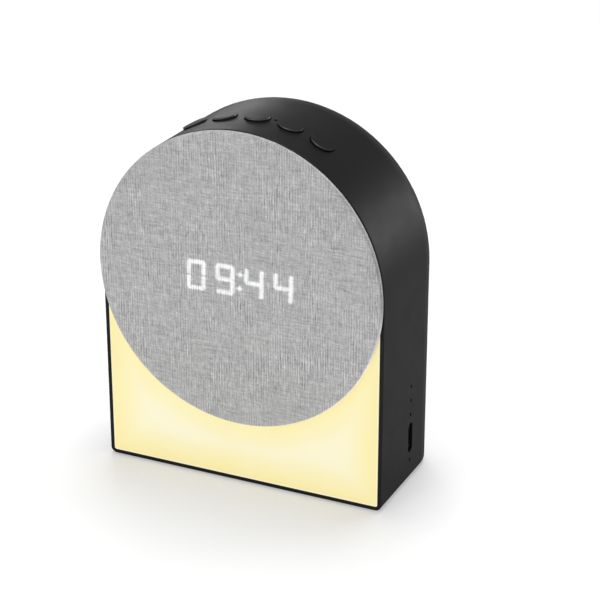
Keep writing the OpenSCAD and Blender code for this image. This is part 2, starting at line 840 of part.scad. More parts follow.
module fabric_cover() color("#b4b4b4") place() about_depth(0, arch_h) {
  rim_y = disc_front_y + disc_edge_r;
  back_r2 = fabric_t;
  difference() {
    union() {
      translate([0, disc_front_y]) square([case_r - disc_edge_r, disc_edge_r]);
      translate([case_r - disc_edge_r, rim_y]) mirror([0, 1]) quarter_disc(disc_edge_r);
      translate([0, rim_y]) square([case_r, hem_back_y - back_r2 - rim_y]);
      translate([0, hem_back_y - back_r2]) square([case_r - back_r2, back_r2]);
      translate([case_r - back_r2, hem_back_y - back_r2]) quarter_disc(back_r2);
    }
    translate([0, plate_front_y]) square([case_r - fabric_t, disc_plate_t]);
    translate([0, plate_back_y - bore_gap]) square([case_r - hem_w, fabric_t + overrun]);
  }
}

// Outline of a segment: a bar with pointed ends, from one end to the other, drawn lying down
module bar_2d(length, width) {
  h = width / 2;
  polygon([[0, 0], [h, h], [length - h, h], [length, 0], [length - h, -h], [h, -h]]);
}

// One segment of a digit whose middle is at the origin, numbered as in the table above
module segment_2d(i, thin) {
  reach_x = (digit_w - stroke) / 2;
  reach_z = (digit_h - stroke) / 2;
  gap = segment_gap + thin;
  starts = [
    [-reach_x, reach_z], [reach_x, reach_z], [reach_x, 0], [-reach_x, -reach_z], [-reach_x, 0],
    [-reach_x, reach_z], [-reach_x, 0]
  ];
  lying = i % 3 == 0;
  length = lying ? 2 * reach_x : reach_z;
  translate(starts[i]) rotate(lying ? 0 : -90)
    translate([gap, 0]) bar_2d(length - 2 * gap, stroke - 2 * thin);
}

// Segments of the four digits that are lit, or the ones that are dark, with the colon on the lit side
module segments_2d(lit, thin) translate([display_x, arch_h + display_z])
  multmatrix([[1, tan(slant), 0, 0], [0, 1, 0, 0], [0, 0, 1, 0], [0, 0, 0, 1]]) {
    last = len(DIGIT_SEGMENTS) - 1;
    for (d = [0 : last], i = [0 : len(DIGIT_SEGMENTS[d]) - 1])
      if (DIGIT_SEGMENTS[d][i] == lit) translate([(d - last / 2) * digit_pitch, 0]) segment_2d(i, thin);
    if (lit == 1)
      for (s = [-1, 1]) translate([0, s * colon_rise]) rotate(45)
        square(colon_d - 2 * thin, center = true);
  }

display_depth = frame_back_y - display_face_y;

module display_block() color("#18181a") place() from_front(display_face_y, display_depth) difference() {
  display_window_2d(0);
  segments_2d(1, 0);
  segments_2d(0, 0);
}

module lit_segments() color("#ffffff") place()
  from_front(display_face_y, segment_fill_share * display_depth) segments_2d(1, bore_gap);

module dark_segments() color("#8c8c86") place()
  from_front(display_face_y, segment_fill_share * display_depth) segments_2d(0, bore_gap);

module display_board() color("#1f5a3a") place() {
  from_front(frame_back_y, display_board_t) difference() {
    translate([display_x - display_board_w / 2, arch_h + display_z - display_board_h / 2])
      square([display_board_w, display_board_h]);
    display_spots() circle(d = small_screw_d + hole_slack);
  }
}

// Outline of the speaker's flange: a disc with four ears for its screws
module flange_2d() {
  translate([0, speaker_z]) circle(speaker_r);
  speaker_spots() circle(speaker_ear_r);
}

module speaker_gasket() color("#333336") place() from_front(frame_back_y, gasket_t) difference() {
  flange_2d();
  translate([0, speaker_z]) circle(speaker_open_r);
  speaker_spots() circle(d = small_screw_d + hole_slack);
}

module speaker_basket() color("#5a5c60") place() difference() {
  union() {
    from_front(speaker_y, speaker_flange_t) difference() {
      flange_2d();
      translate([0, speaker_z]) circle(basket_in_r);
    }
    about_depth(0, speaker_z) {
      neck_y = speaker_y + speaker_flange_t;
      polygon([
        [basket_in_r, speaker_y + speaker_flange_t / 2],
        [basket_in_r + basket_t, neck_y],
        [basket_back_r, speaker_y + basket_depth],
        [basket_back_r - basket_t, speaker_y + basket_depth],
        [basket_in_r, speaker_y + roll_r]
      ]);
      translate([magnet_r / 2, speaker_y + basket_depth])
        square([basket_back_r - magnet_r / 2, speaker_flange_t]);
    }
    translate([-tag_w / 2, speaker_y + speaker_flange_t, speaker_z + speaker_r - tag_h])
      cube([tag_w, tag_d, tag_h]);
  }
  from_front(speaker_y - overrun, speaker_flange_t + 2 * overrun) speaker_spots()
    circle(d = small_screw_d + hole_slack);
  for (a = [0, 90])
    translate([0, speaker_y + basket_depth / 2, speaker_z]) rotate([0, a, 0])
      cube([speaker_d, basket_depth / 2, basket_window_w], center = true);
}

module speaker_surround() color("#1b1b1d") place() about_depth(0, speaker_z) {
  roll_x = speaker_open_r - roll_r;
  translate([roll_x, speaker_y + roll_r]) intersection() {
    difference() {
      circle(roll_r);
      circle(roll_r - roll_t);
    }
    translate([-roll_r, -roll_r]) square([2 * roll_r, roll_r]);
  }
  for (x = [roll_r - roll_t, roll_t - roll_r - surround_lip])
    translate([roll_x + x, speaker_y + roll_r - roll_t]) square([surround_lip, roll_t]);
}

module speaker_cone() color("#3a3633") place() about_depth(0, speaker_z) {
  edge_x = speaker_open_r - 2 * roll_r;
  edge_y = speaker_y + roll_r + bore_gap;
  apex_y = edge_y + cone_depth;
  polygon([[edge_x, edge_y], [edge_x, edge_y + cone_t], [cap_r, apex_y + cone_t], [cap_r, apex_y]]);
  translate([0, apex_y]) square([cap_r + bore_gap, cone_t]);
  cap_ball_r = (cap_r * cap_r + cap_rise * cap_rise) / (2 * cap_rise);
  translate([0, apex_y - cap_rise + cap_ball_r]) intersection() {
    circle(cap_ball_r);
    translate([0, -cap_ball_r]) square([cap_r, cap_rise]);
  }
}

module speaker_magnet() color("#8a8c90") place() about_depth(0, speaker_z) {
  y0 = speaker_y + basket_depth + speaker_flange_t;
  magnet_l = speaker_depth - basket_depth - speaker_flange_t - 2 * magnet_plate_t;
  translate([0, y0]) square([magnet_r, magnet_plate_t]);
  translate([0, y0 + magnet_plate_t]) square([magnet_r - seat_gap, magnet_l]);
  translate([0, y0 + magnet_plate_t + magnet_l]) square([magnet_back_r, magnet_plate_t]);
}

// Button cap: a domed disc with a soft rim, two wings that stop it under the case, and its stem
module button_cap(i) color("#262626") place() on_arch(button_angles[i - 1], button_y) {
  rim_z = button_top_r + button_crease - button_edge_r;
  intersection() {
    rotate_extrude() {
      translate([0, wing_low_r]) square([button_r, rim_z - wing_low_r]);
      translate([0, wing_low_r]) square([button_r - button_edge_r, rim_z + button_edge_r - wing_low_r]);
      translate([button_r - button_edge_r, rim_z]) circle(button_edge_r);
    }
    rotate([90, 0, 0]) cylinder(r = button_top_r, h = 2 * button_d, center = true, $fn = 4 * $fn);
  }
  translate([-wing_w / 2, -wing_l / 2, wing_low_r]) cube([wing_w, wing_l, wing_t]);
  translate([0, 0, plunger_top_r]) cylinder(d = stem_d, h = wing_low_r - plunger_top_r);
}

module button_1() button_cap(1);
module button_2() button_cap(2);
module button_3() button_cap(3);
module button_4() button_cap(4);
module button_5() button_cap(5);

// Round nose of a key switch, which the stem of a button presses
module plunger(i) color("#c9c4b8") place() on_arch(button_angles[i - 1], button_y)
  translate([0, 0, plunger_top_r - plunger_l]) cylinder(d = plunger_d, h = plunger_l);

module switch_plunger_1() plunger(1);
module switch_plunger_2() plunger(2);
module switch_plunger_3() plunger(3);
module switch_plunger_4() plunger(4);
module switch_plunger_5() plunger(5);

module key_switches() color("#1a1a1c") place() for (a = button_angles) on_arch(a, button_y) difference() {
  pocket = plunger_l - plunger_proud + button_travel + pocket_slack;
  translate([-switch_w / 2, -switch_w / 2, switch_low_r]) cube([switch_w, switch_w, switch_t]);
  translate([0, 0, switch_top_r - pocket]) cylinder(d = plunger_d + 2 * plunger_gap, h = pocket + overrun);
}

// Strip bent round the arch's centre line, between two radii, over an angle each way from the top
module arch_strip(low_r, top_r, y, length, from_a, to_a) {
  translate([0, y, arch_h]) rotate([-90, 0, 0]) rotate([0, 0, -to_a])
    rotate_extrude(angle = to_a - from_a) translate([low_r, 0]) square([top_r - low_r, length]);
}

module switch_flex() color("#c98a2b") place()
  arch_strip(flex_low_r, flex_top_r, flex_y, flex_l, 90 - flex_reach, 90 + flex_reach);

module button_guide() color("#2f2f31") place() difference() {
  arch_strip(guide_low_r, guide_top_r, bracket_y, bracket_l, 90 - bracket_reach, 90 + bracket_reach);
  for (a = button_angles) on_arch(a, button_y) translate([0, 0, guide_low_r - overrun])
    cylinder(d = stem_d + 2 * stem_gap, h = guide_t + 2 * overrun);
  on_arch(mic_angle, mic_y) translate([0, 0, guide_low_r - overrun])
    cylinder(d = boot_bore_d, h = guide_t + 2 * overrun);
  bracket_screw_holes();
}

module bracket_screw_holes() {
  for (s = [-1, 1]) on_arch(90 + s * bracket_screw_reach, button_y)
    translate([0, 0, carrier_low_r - overrun])
      cylinder(d = small_screw_d + hole_slack, h = guide_top_r - carrier_low_r + 2 * overrun);
}

module switch_carrier() color("#353537") place() difference() {
  union() {
    arch_strip(carrier_low_r, flex_low_r, bracket_y, bracket_l, 90 - bracket_reach, 90 + bracket_reach);
    for (s = [0, 1]) mirror([s, 0, 0])
      arch_strip(
        flex_low_r - boss_bite, guide_low_r, bracket_y, bracket_l, 90 + leg_reach, 90 + bracket_reach
      );
  }
  bracket_screw_holes();
}

module microphone() color("#b9bbbe") place() on_arch(mic_angle, mic_y)
  translate([0, 0, guide_low_r - bore_gap - mic_t]) cylinder(d = mic_d, h = mic_t);

module microphone_boot() color("#202022") place() on_arch(mic_angle, mic_y)
  translate([0, 0, guide_top_r + boot_gap]) difference() {
    boot_l = inner_r - guide_top_r - 2 * boot_gap;
    cylinder(d = boot_d, h = boot_l);
    translate([0, 0, -overrun]) cylinder(d = boot_bore_d, h = boot_l + 2 * overrun);
  }

module main_board() color("#1d6b45") place() difference() {
  translate([-main_w / 2, main_front_y, main_z]) cube([main_w, board_t, main_h]);
  for (p = main_holes)
    rod_back(p[0], main_front_y - overrun, p[1], board_t + 2 * overrun, small_screw_d + hole_slack);
}

// Block on the front of the main board, given by its middle, size and thickness
module on_main_board(x, z, w, h, t) {
  translate([x - w / 2, main_front_y - t, main_top + z - h / 2]) cube([w, t, h]);
}

module shield_can() color("#b7b9bb") place() difference() {
  on_main_board(can_x, -can_down, can_w, can_h, can_t);
  translate([0, overrun, 0])
    on_main_board(can_x, -can_down, can_w - 2 * can_wall, can_h - 2 * can_wall, can_t - can_wall + overrun);
}

module board_chips() color("#141416") place()
  for (c = CHIPS) on_main_board(c[0], c[1], c[2], c[3], c[4]);

module capacitors() color("#9a9ca0") place()
  for (p = capacitor_spots)
    rod_back(p[0], main_front_y - capacitor_l, main_top + p[1], capacitor_l, capacitor_d);

module coin_cell_holder() color("#222224") place()
  from_front(main_front_y - holder_t, holder_t) difference() {
    translate([coin_x, main_top - coin_down]) circle(d = holder_d);
    translate([coin_x, main_top - coin_down]) circle(d = coin_d + 2 * seat_gap);
  }

module coin_cell() color("#c8cacc") place()
  from_front(main_front_y - coin_lift - coin_t, coin_t)
    translate([coin_x, main_top - coin_down]) circle(d = coin_d);

module power_board() color("#1d6b45") place() difference() {
  translate([power_x, power_front_y, power_low]) cube([power_w, board_t, power_h]);
  for (z = power_hole_zs)
    rod_back(power_hole_x, power_front_y - overrun, z, board_t + 2 * overrun, small_screw_d + hole_slack);
}

// Flat rounded bar across the case: a stadium in depth and height
module stadium(x, length, thick, tall) {
  across(x, length) translate([port_y, slot_z]) {
    square([thick, tall - thick], center = true);
    for (s = [-1, 1]) translate([0, s * (tall - thick) / 2]) circle(d = thick);
  }
}

usb_x = case_r - usb_recess - usb_l;

module usb_shell() color("#2a2a2c") place() difference() {
  stadium(usb_x, usb_l, usb_t, usb_w);
  stadium(usb_x + usb_plug_l, usb_l, usb_t - 2 * usb_wall, usb_w - 2 * usb_wall);
}

module usb_tongue() color("#0d0d0e") place()
  translate([usb_x + usb_plug_l, port_y - tongue_t / 2, slot_z - tongue_w / 2])
    cube([tongue_l, tongue_t, tongue_w]);

pipe_x = inner_r - pipe_bar_gap - pipe_bar_t;

module indicator_lamps() color("#f5f5ee") place()
  for (z = indicator_zs)
    translate([pipe_x - pipe_lamp_gap, power_front_y, z])
      mirror([1, 0, 0]) mirror([0, 1, 0]) translate([0, 0, -indicator_w / 2])
        cube([indicator_w, indicator_lift, indicator_w]);

module indicator_pipes() color("#3b3d40") place() {
  bar_l = 2 * indicator_pitch + pipe_bar_w;
  translate([pipe_x, port_y - pipe_bar_w / 2, indicator_z - bar_l / 2]) cube([pipe_bar_t, pipe_bar_w, bar_l]);
  for (z = indicator_zs)
    rod_right(pipe_x, port_y, z, case_r - pipe_sink - pipe_x, pinhole_d - 2 * pipe_slack);
}

reset_x = inner_r - power_side_gap - reset_l;

module reset_switch() color("#1a1a1c") place() difference() {
  translate([reset_x, power_front_y - reset_t, reset_z - reset_w / 2]) cube([reset_l, reset_t, reset_w]);
  pocket = reset_nose_l - reset_nose_proud + reset_travel + pocket_slack;
  rod_right(reset_x + reset_l - pocket, port_y, reset_z, pocket + overrun, reset_nose_d + 2 * plunger_gap);
}

module reset_plunger() color("#c9c4b8") place()
  rod_right(reset_x + reset_l + reset_nose_proud - reset_nose_l, port_y, reset_z, reset_nose_l, reset_nose_d);

module battery_cell() color("#2f7fb5") place() {
  rod_right(-cell_l / 2, cell_y, cell_z, cell_l - nub_l, cell_d);
  rod_right(cell_l / 2 - nub_l, cell_y, cell_z, nub_l, nub_d);
}

module battery_cradle() color("#e9e8e2") place() difference() {
  union() {
    translate([-cradle_w / 2, cradle_front_y, cell_z - cradle_h / 2]) cube([cradle_w, cradle_d, cradle_h]);
    for (s = [0, 1]) mirror([s, 0, 0])
      translate([cradle_w / 2 - boss_bite, cradle_ear_y, cell_z - cradle_ear_h / 2])
        cube([cradle_ear_w + boss_bite, cradle_ear_t, cradle_ear_h]);
  }
  rod_right(-cell_l / 2 - cell_gap, cell_y, cell_z, cell_l + 2 * cell_gap, cell_d + 2 * cell_gap);
  for (s = [-1, 1]) {
    rod_back(
      s * cradle_screw_x, cradle_ear_y - overrun, cell_z, cradle_ear_t + 2 * overrun,
      small_screw_d + hole_slack
    );
    rod_back(
      0, cradle_front_y - overrun, cell_z + s * clip_screw_z, small_screw_l + pilot_extra + overrun,
      small_screw_d + 2 * bore_gap
    );
  }
}

module battery_clip() color("#2c2c2e") place() difference() {
  across(-clip_w / 2, clip_w) translate([0, cell_z]) {
    difference() {
      translate([cell_y, 0]) circle(clip_out_r);
      translate([cell_y, 0]) circle(clip_in_r);
      translate([cell_y, -clip_out_r - overrun]) square([clip_out_r + overrun, 2 * (clip_out_r + overrun)]);
    }
    for (s = [0, 1]) mirror([0, s]) {
      translate([cell_y, clip_in_r]) square([cradle_front_y - cell_y, clip_t]);
      translate([cradle_front_y - clip_t, clip_in_r]) square([clip_t, clip_reach - clip_in_r]);
    }
  }
  for (s = [-1, 1])
    rod_back(
      0, cradle_front_y - clip_t - overrun, cell_z + s * clip_screw_z, clip_t + 2 * overrun,
      small_screw_d + hole_slack
    );
}

module case_screws() color("#3c3d40") place()
  for (p = post_spots) translate([p[0], sink_y, p[1]]) rotate([-90, 0, 0])
    screw(case_screw_d, case_screw_l, case_head_d, case_head_t);

module disc_screws() color("#8f9194") place()
  for (a = disc_angles)
    screw_from_back(disc_boss_r * cos(a), frame_back_y, arch_h + disc_boss_r * sin(a));

module inner_screws() color("#8f9194") place() {
  for (s = [-1, 1])
    short_from_back(display_x + s * display_screw_x, frame_back_y + display_board_t, arch_h + display_z);
  for (a = speaker_ear_angles)
    short_from_back(
      speaker_screw_r * cos(a), speaker_y + speaker_flange_t, speaker_z + speaker_screw_r * sin(a)
    );
  for (p = lamp_board_holes) short_from_front(p[0], lamp_board_y, p[1]);
  for (p = main_holes) screw_from_front(p[0], main_front_y, p[1]);
  for (z = power_hole_zs) screw_from_front(power_hole_x, power_front_y, z);
  for (s = [-1, 1]) {
    screw_from_front(s * cradle_screw_x, cradle_ear_y, cell_z);
    screw_from_front(0, cradle_front_y - clip_t, cell_z + s * clip_screw_z);
    on_arch(90 + s * bracket_screw_reach, button_y) translate([0, 0, carrier_low_r - bore_gap])
      mirror([0, 0, 1]) small_screw(bracket_screw_l);
  }
}

ribbon_y = main_front_y - ribbon_lift;

// Quarter bend of a ribbon drawn as depth and height, about a centre
module ribbon_bend_2d(y, z, front) {
  translate([y, z]) mirror([front ? 1 : 0, 0]) intersection() {
    difference() {
      circle(ribbon_bend + ribbon_t / 2);
      circle(ribbon_bend - ribbon_t / 2);
    }
    square(ribbon_bend + ribbon_t);
  }
}

// Ribbon drawn as depth and height: back from y at the height z, then down into the main board's socket
module ribbon_2d(y, z, end_z) {
  bend_y = ribbon_y - ribbon_bend;
  bend_z = z - ribbon_bend - ribbon_t / 2;
  translate([y, z - ribbon_t]) square([bend_y - y + ribbon_lap, ribbon_t]);
  ribbon_bend_2d(bend_y, bend_z, false);
  translate([ribbon_y - ribbon_t / 2, end_z]) square([ribbon_t, bend_z - end_z + ribbon_lap]);
}

// Sockets of the leads on the main board
main_socket_y = main_front_y - connector_t;
light_socket = [-lead_socket_x, main_socket_y, main_z + lead_socket_h / 2];
power_socket = [lead_socket_x, main_socket_y, main_z + lead_socket_h / 2];
speaker_socket = [speaker_socket_x, main_socket_y, main_top - speaker_socket_down];

display_plug_y = frame_back_y + display_board_t;
display_tail_y = display_plug_y + ribbon_lift;

module display_ribbon() color("#d9d6cc") place() {
  top = arch_h + display_tail_z + display_loop;
  bend_z = top - ribbon_bend - ribbon_t / 2;
  across(display_tail_x - ribbon_w / 2, ribbon_w) {
    ribbon_2d(display_tail_y + ribbon_bend, top, main_top - display_end_down);
    ribbon_bend_2d(display_tail_y + ribbon_bend, bend_z, true);
    translate([display_tail_y - ribbon_t / 2, arch_h + display_tail_z])
      square([ribbon_t, bend_z - arch_h - display_tail_z + ribbon_lap]);
  }
}

module button_ribbon() color("#c98a2b") place()
  across(-ribbon_w / 2, ribbon_w)
    ribbon_2d(flex_y + flex_l + bore_gap, arch_h + flex_top_r, main_top - button_end_down);

// Socket open at its top for a ribbon whose end is at the height z and whose middle is at the depth y
module ribbon_socket(x, y, z, face_y) difference() {
  low = z + ribbon_depth - ribbon_socket_h;
  translate([x - ribbon_socket_w / 2, min(face_y, face_y + connector_t * sign(y - face_y)), low])
    cube([ribbon_socket_w, connector_t, ribbon_socket_h]);
  translate([x - ribbon_w / 2 - seat_gap, y - ribbon_t / 2 - bore_gap, z - seat_gap])
    cube([ribbon_w + 2 * seat_gap, ribbon_t + 2 * bore_gap, ribbon_socket_h]);
}

module board_connectors() color("#e8e3cf") place() {
  ribbon_socket(display_tail_x, ribbon_y, main_top - display_end_down, main_front_y);
  ribbon_socket(display_tail_x, display_tail_y, arch_h + display_tail_z, display_plug_y);
  ribbon_socket(0, ribbon_y, main_top - button_end_down, main_front_y);
  for (p = [light_socket, power_socket, speaker_socket])
    translate([p[0] - lead_socket_w / 2, p[1], p[2] - lead_socket_h / 2])
      cube([lead_socket_w, connector_t, lead_socket_h]);
  for (z = [power_socket_z, battery_socket_z])
    translate([power_socket_x - lead_socket_w / 2, power_back_y, z - lead_socket_h / 2])
      cube([lead_socket_w, connector_t, lead_socket_h]);
}

// Smooth curve from one end to the other, and its direction, at a share of the way
function curve_at(c, t) =
  pow(1 - t, 3) * c[0] + 3 * t * pow(1 - t, 2) * c[1] + 3 * t * t * (1 - t) * c[2] + pow(t, 3) * c[3];
function curve_way(c, t) =
  pow(1 - t, 2) * (c[1] - c[0]) + 2 * t * (1 - t) * (c[2] - c[1]) + t * t * (c[3] - c[2]);
function unit(v) = v / norm(v);

// One wire of a pair on a curve: side is -1 or 1, and the pair lies square to the direction given
module wire(c, side, square_to) {
  points = [
    for (i = [0 : lead_steps])
      let (
        t = i / lead_steps,
        way = unit(curve_way(c, t)),
        u = unit(cross(way, square_to)),
        v = cross(way, u),
        middle = curve_at(c, t) + side * lead_spread / 2 * u
      )
      for (k = [0 : lead_sides - 1])
        middle + lead_d / 2 * (cos(360 * k / lead_sides) * u + sin(360 * k / lead_sides) * v)
  ];
  last = lead_steps * lead_sides;
  faces = concat(
    [[for (k = [0 : lead_sides - 1]) k]],
    [
      for (i = [0 : lead_steps - 1], k = [0 : lead_sides - 1], half = [0, 1])
        let (a = i * lead_sides + k, b = i * lead_sides + (k + 1) % lead_sides)
        half == 0 ? [a, a + lead_sides, b + lead_sides] : [a, b + lead_sides, b]
    ],
    [[for (k = [lead_sides - 1 : -1 : 0]) last + k]]
  );
  polyhedron(points, faces);
}

// Pair of wires from a start to an end, leaving each in its own direction for a reach
module leads(start, start_way, end, end_way, reach, square_to) {
  c = [start, start + reach * start_way, end + reach * end_way, end];
  for (side = [-1, 1]) wire(c, side, square_to);
}

power_socket_y = power_back_y + connector_t;

module speaker_leads() color("#a22222") place()
  leads(
    [0, speaker_y + speaker_flange_t + tag_d, speaker_z + speaker_r - tag_h / 2], [0, 1, 0],
    speaker_socket, [0, -1, 0], speaker_lead_reach, [0, 0, 1]
  );

module light_leads() color("#a22222") place()
  leads(
    [light_slot_x, lamp_floor_y, light_slot_z], [0, 1, 0],
    light_socket, [0, -1, 0], light_lead_reach, [1, 0, 0]
  );

module power_leads() color("#a22222") place()
  leads(
    [power_socket_x, power_socket_y, power_socket_z], [0, 1, 0],
    power_socket, [0, -1, 0], power_lead_reach, [0, 0, 1]
  );

module battery_leads() color("#a22222") place()
  leads(
    [cell_l / 2 - nub_l, battery_tab_y, battery_tab_z], [1, 0, 0],
    [power_socket_x, power_socket_y, battery_socket_z], [0, 1, 0], battery_lead_reach, [0, 0, 1]
  );

housing();
rubber_feet();
inner_frame();
diffuser_panel();
panel_tape();
light_board();
warm_lamps();
disc_plate();
fabric_cover();
display_block();
lit_segments();
dark_segments();
display_board();
speaker_gasket();
speaker_basket();
speaker_surround();
speaker_cone();
speaker_magnet();
button_1();
button_2();
button_3();
button_4();
button_5();
switch_plunger_1();
switch_plunger_2();
switch_plunger_3();
switch_plunger_4();
switch_plunger_5();
key_switches();
switch_flex();
button_guide();
switch_carrier();
microphone();
microphone_boot();
main_board();
shield_can();
board_chips();
capacitors();
board_connectors();
coin_cell_holder();
coin_cell();
power_board();
usb_shell();
usb_tongue();
indicator_lamps();
indicator_pipes();
reset_switch();
reset_plunger();
battery_cell();
battery_cradle();
battery_clip();
case_screws();
disc_screws();
inner_screws();
display_ribbon();
button_ribbon();
speaker_leads();
light_leads();
power_leads();
battery_leads();
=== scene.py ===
import math

import bmesh
import bpy
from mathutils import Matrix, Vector

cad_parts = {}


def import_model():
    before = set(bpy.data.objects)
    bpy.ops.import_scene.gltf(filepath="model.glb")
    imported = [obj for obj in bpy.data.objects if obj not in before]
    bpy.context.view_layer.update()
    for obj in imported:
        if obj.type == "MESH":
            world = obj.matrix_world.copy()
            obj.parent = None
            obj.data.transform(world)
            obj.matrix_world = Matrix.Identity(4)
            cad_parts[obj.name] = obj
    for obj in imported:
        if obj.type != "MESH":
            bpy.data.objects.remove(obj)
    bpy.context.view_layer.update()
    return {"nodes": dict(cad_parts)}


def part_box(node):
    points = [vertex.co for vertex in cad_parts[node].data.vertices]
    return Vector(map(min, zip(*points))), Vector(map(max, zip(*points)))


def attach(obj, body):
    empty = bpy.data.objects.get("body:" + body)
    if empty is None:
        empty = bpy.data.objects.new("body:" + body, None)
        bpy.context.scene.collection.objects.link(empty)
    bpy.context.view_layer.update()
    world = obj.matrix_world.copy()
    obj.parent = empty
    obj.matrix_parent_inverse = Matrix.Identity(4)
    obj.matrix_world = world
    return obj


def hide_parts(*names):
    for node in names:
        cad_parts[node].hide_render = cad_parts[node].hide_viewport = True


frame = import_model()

NODES = frame["nodes"]
MM = 0.001

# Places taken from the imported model
DISC_LOW, DISC_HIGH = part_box("fabric_cover")
DISC_CENTRE = (DISC_LOW + DISC_HIGH) / 2
DISC_RADIUS = (DISC_HIGH.z - DISC_LOW.z) / 2
DISC_FRONT = DISC_LOW.y
CASE_LOW, CASE_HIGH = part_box("housing")
PANEL_LOW, PANEL_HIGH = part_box("diffuser_panel")
LIT_LOW, LIT_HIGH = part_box("lit_segments")
ARCH_HEIGHT = CASE_HIGH.z - (CASE_HIGH.x - CASE_LOW.x) / 2
BUTTON_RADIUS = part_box("button_3")[1].z - ARCH_HEIGHT

# Cloth on the disc: the radius of its bends in front and behind, its thickness, and its hem with the folds
CLOTH_EDGE = 1.1 * MM
CLOTH_BACK_EDGE = 0.7 * MM
CLOTH_THICKNESS = 0.55 * MM
HEM_WIDTH = 6.8 * MM
HEM_STEPS = 4
HEM_FOLDS = 48
FOLD_DEPTH = 0.12 * MM

# Mesh of the cloth: width of its rings, steps all round, and steps over a bend
RING_STEP = 1.5 * MM
TURN_STEPS = 256
EDGE_STEPS = 8

# Weave: threads and ribs as lengths, and how often a thread's tone changes per metre of its length
THREAD_PITCH = 0.42 * MM
RIB_PITCH = 1.05 * MM
WARP_DENSITY = 210
WEFT_DENSITY = 130
WEAVE_RELIEF = 0.12 * MM

# Digits as they glow through the cloth in the photograph. A waist is the gap at half height
# beside the middle bar, for digits with that bar lit and dark.
DIGITS = "0944"
LIT_SEGMENTS = {"0": "abcdef", "9": "abcdfg", "4": "bcfg"}
DIGIT_PITCH = 12.3 * MM
DIGIT_WIDTH = 7.9 * MM
DIGIT_HEIGHT = 12.2 * MM
DIGIT_CORNER = 0.5 * MM
STROKE = 1.5 * MM
STROKE_SPREAD = 0.14 * MM
GLOW_SOFTNESS = 1.15 * MM
WAIST_LIT = 0.4 * MM
WAIST_DARK = 0.95 * MM
COLON_RISE = 2.9 * MM
COLON_SHIFT = 0.2 * MM
SLANT = math.tan(math.radians(2))
ROW_RISE = math.tan(math.radians(1))

# Light panel: strength at its foot and at the disc's middle, the dark share in its unlit colour, how wide
# its edges blend at the corners, how far behind the disc's edge it starts to count, how far in from its
# edges the colour changes, and where its pale outline begins and is full
PANEL_GLOW = (0.675, 0.625)
PANEL_SHADE = 0.62
EDGE_BLEND = 4 * MM
DISC_OVERLAP = 1.5 * MM
GLOW_REACH = 24 * MM
OUTLINE = (0.9 * MM, 0.2 * MM)

# Panel light on the cloth's lower rim, painted as a glow of the cloth itself, and painted shade where the
# cloth
# turns over the rim: their strengths, the height over which the light grows, and the depths behind the
# disc's front between which each comes up
SPILL = 0.64
SPILL_FALL = 25 * MM
SPILL_DEPTHS = (0.1 * MM, 0.5 * MM)
PAINTED_RIM_SHADE = 0.3
PAINTED_SHADE_DEPTHS = (0.05 * MM, 0.6 * MM)

# Case plastic, and the gloss along a button's rounded edge, with the depths below the button's face
# between which it comes up, and between which it goes again
CASE_COLOUR = (15, 15, 16)
EDGE_GLOSS = 1.0
GLOSS_START = (0.05 * MM, 0.2 * MM)
GLOSS_END = (0.4 * MM, 0.6 * MM)

# Floor: half its side in metres, its colour, and the share of plain white laid over its shadow, which
# grows to the whole between two distances from the clock
FLOOR_SIZE = 6.0
FLOOR_COLOUR = (0.86, 0.86, 0.865, 1.0)
FLOOR_GLOW = 0.34
FLOOR_GLOW_START = 0.3
FLOOR_GLOW_END = 0.9

# Strength of the light from all round, and the white of it and of the background
WORLD_LIGHT = 0.45
WHITE = (1.0, 1.0, 1.0, 1.0)

# Lamps: name, place, side in metres and power in watts, all aimed at one point
LAMP_AIM = (0, 0, 0.07)
LAMPS = [
    ("top", (-0.05, 0.24, 1.15), 0.5, 10.2),
    ("front", (-0.3, -1.3, 0.7), 0.8, 5.2),
    ("back", (-0.9, 1.3, 0.45), 0.4, 3.4),
    ("right", (0.84, 1.18, 0.2), 0.5, 10.2),
]

# The photograph's view: lengths in metres, the lens and its sensor in millimetres
CAMERA_AZIMUTH = math.radians(25.02)
CAMERA_ELEVATION = math.radians(23.06)
CAMERA_DISTANCE = 0.7734
CAMERA_TARGET = Vector((0.01156, 0.0015, 0.06933))
CAMERA_LENS = 117.25
CAMERA_SENSOR = 36


def linear(colour):
    """An sRGB colour in 0 to 255 as Blender's linear one."""
    values = [c / 255 for c in colour]
    return tuple(v / 12.92 if v <= 0.04045 else ((v + 0.055) / 1.055) ** 2.4 for v in values) + (1.0,)


def toned(colour, factor):
    """A linear colour made darker or lighter, held at full strength."""
    return tuple(min(1.0, c * factor) for c in colour[:3]) + (1.0,)


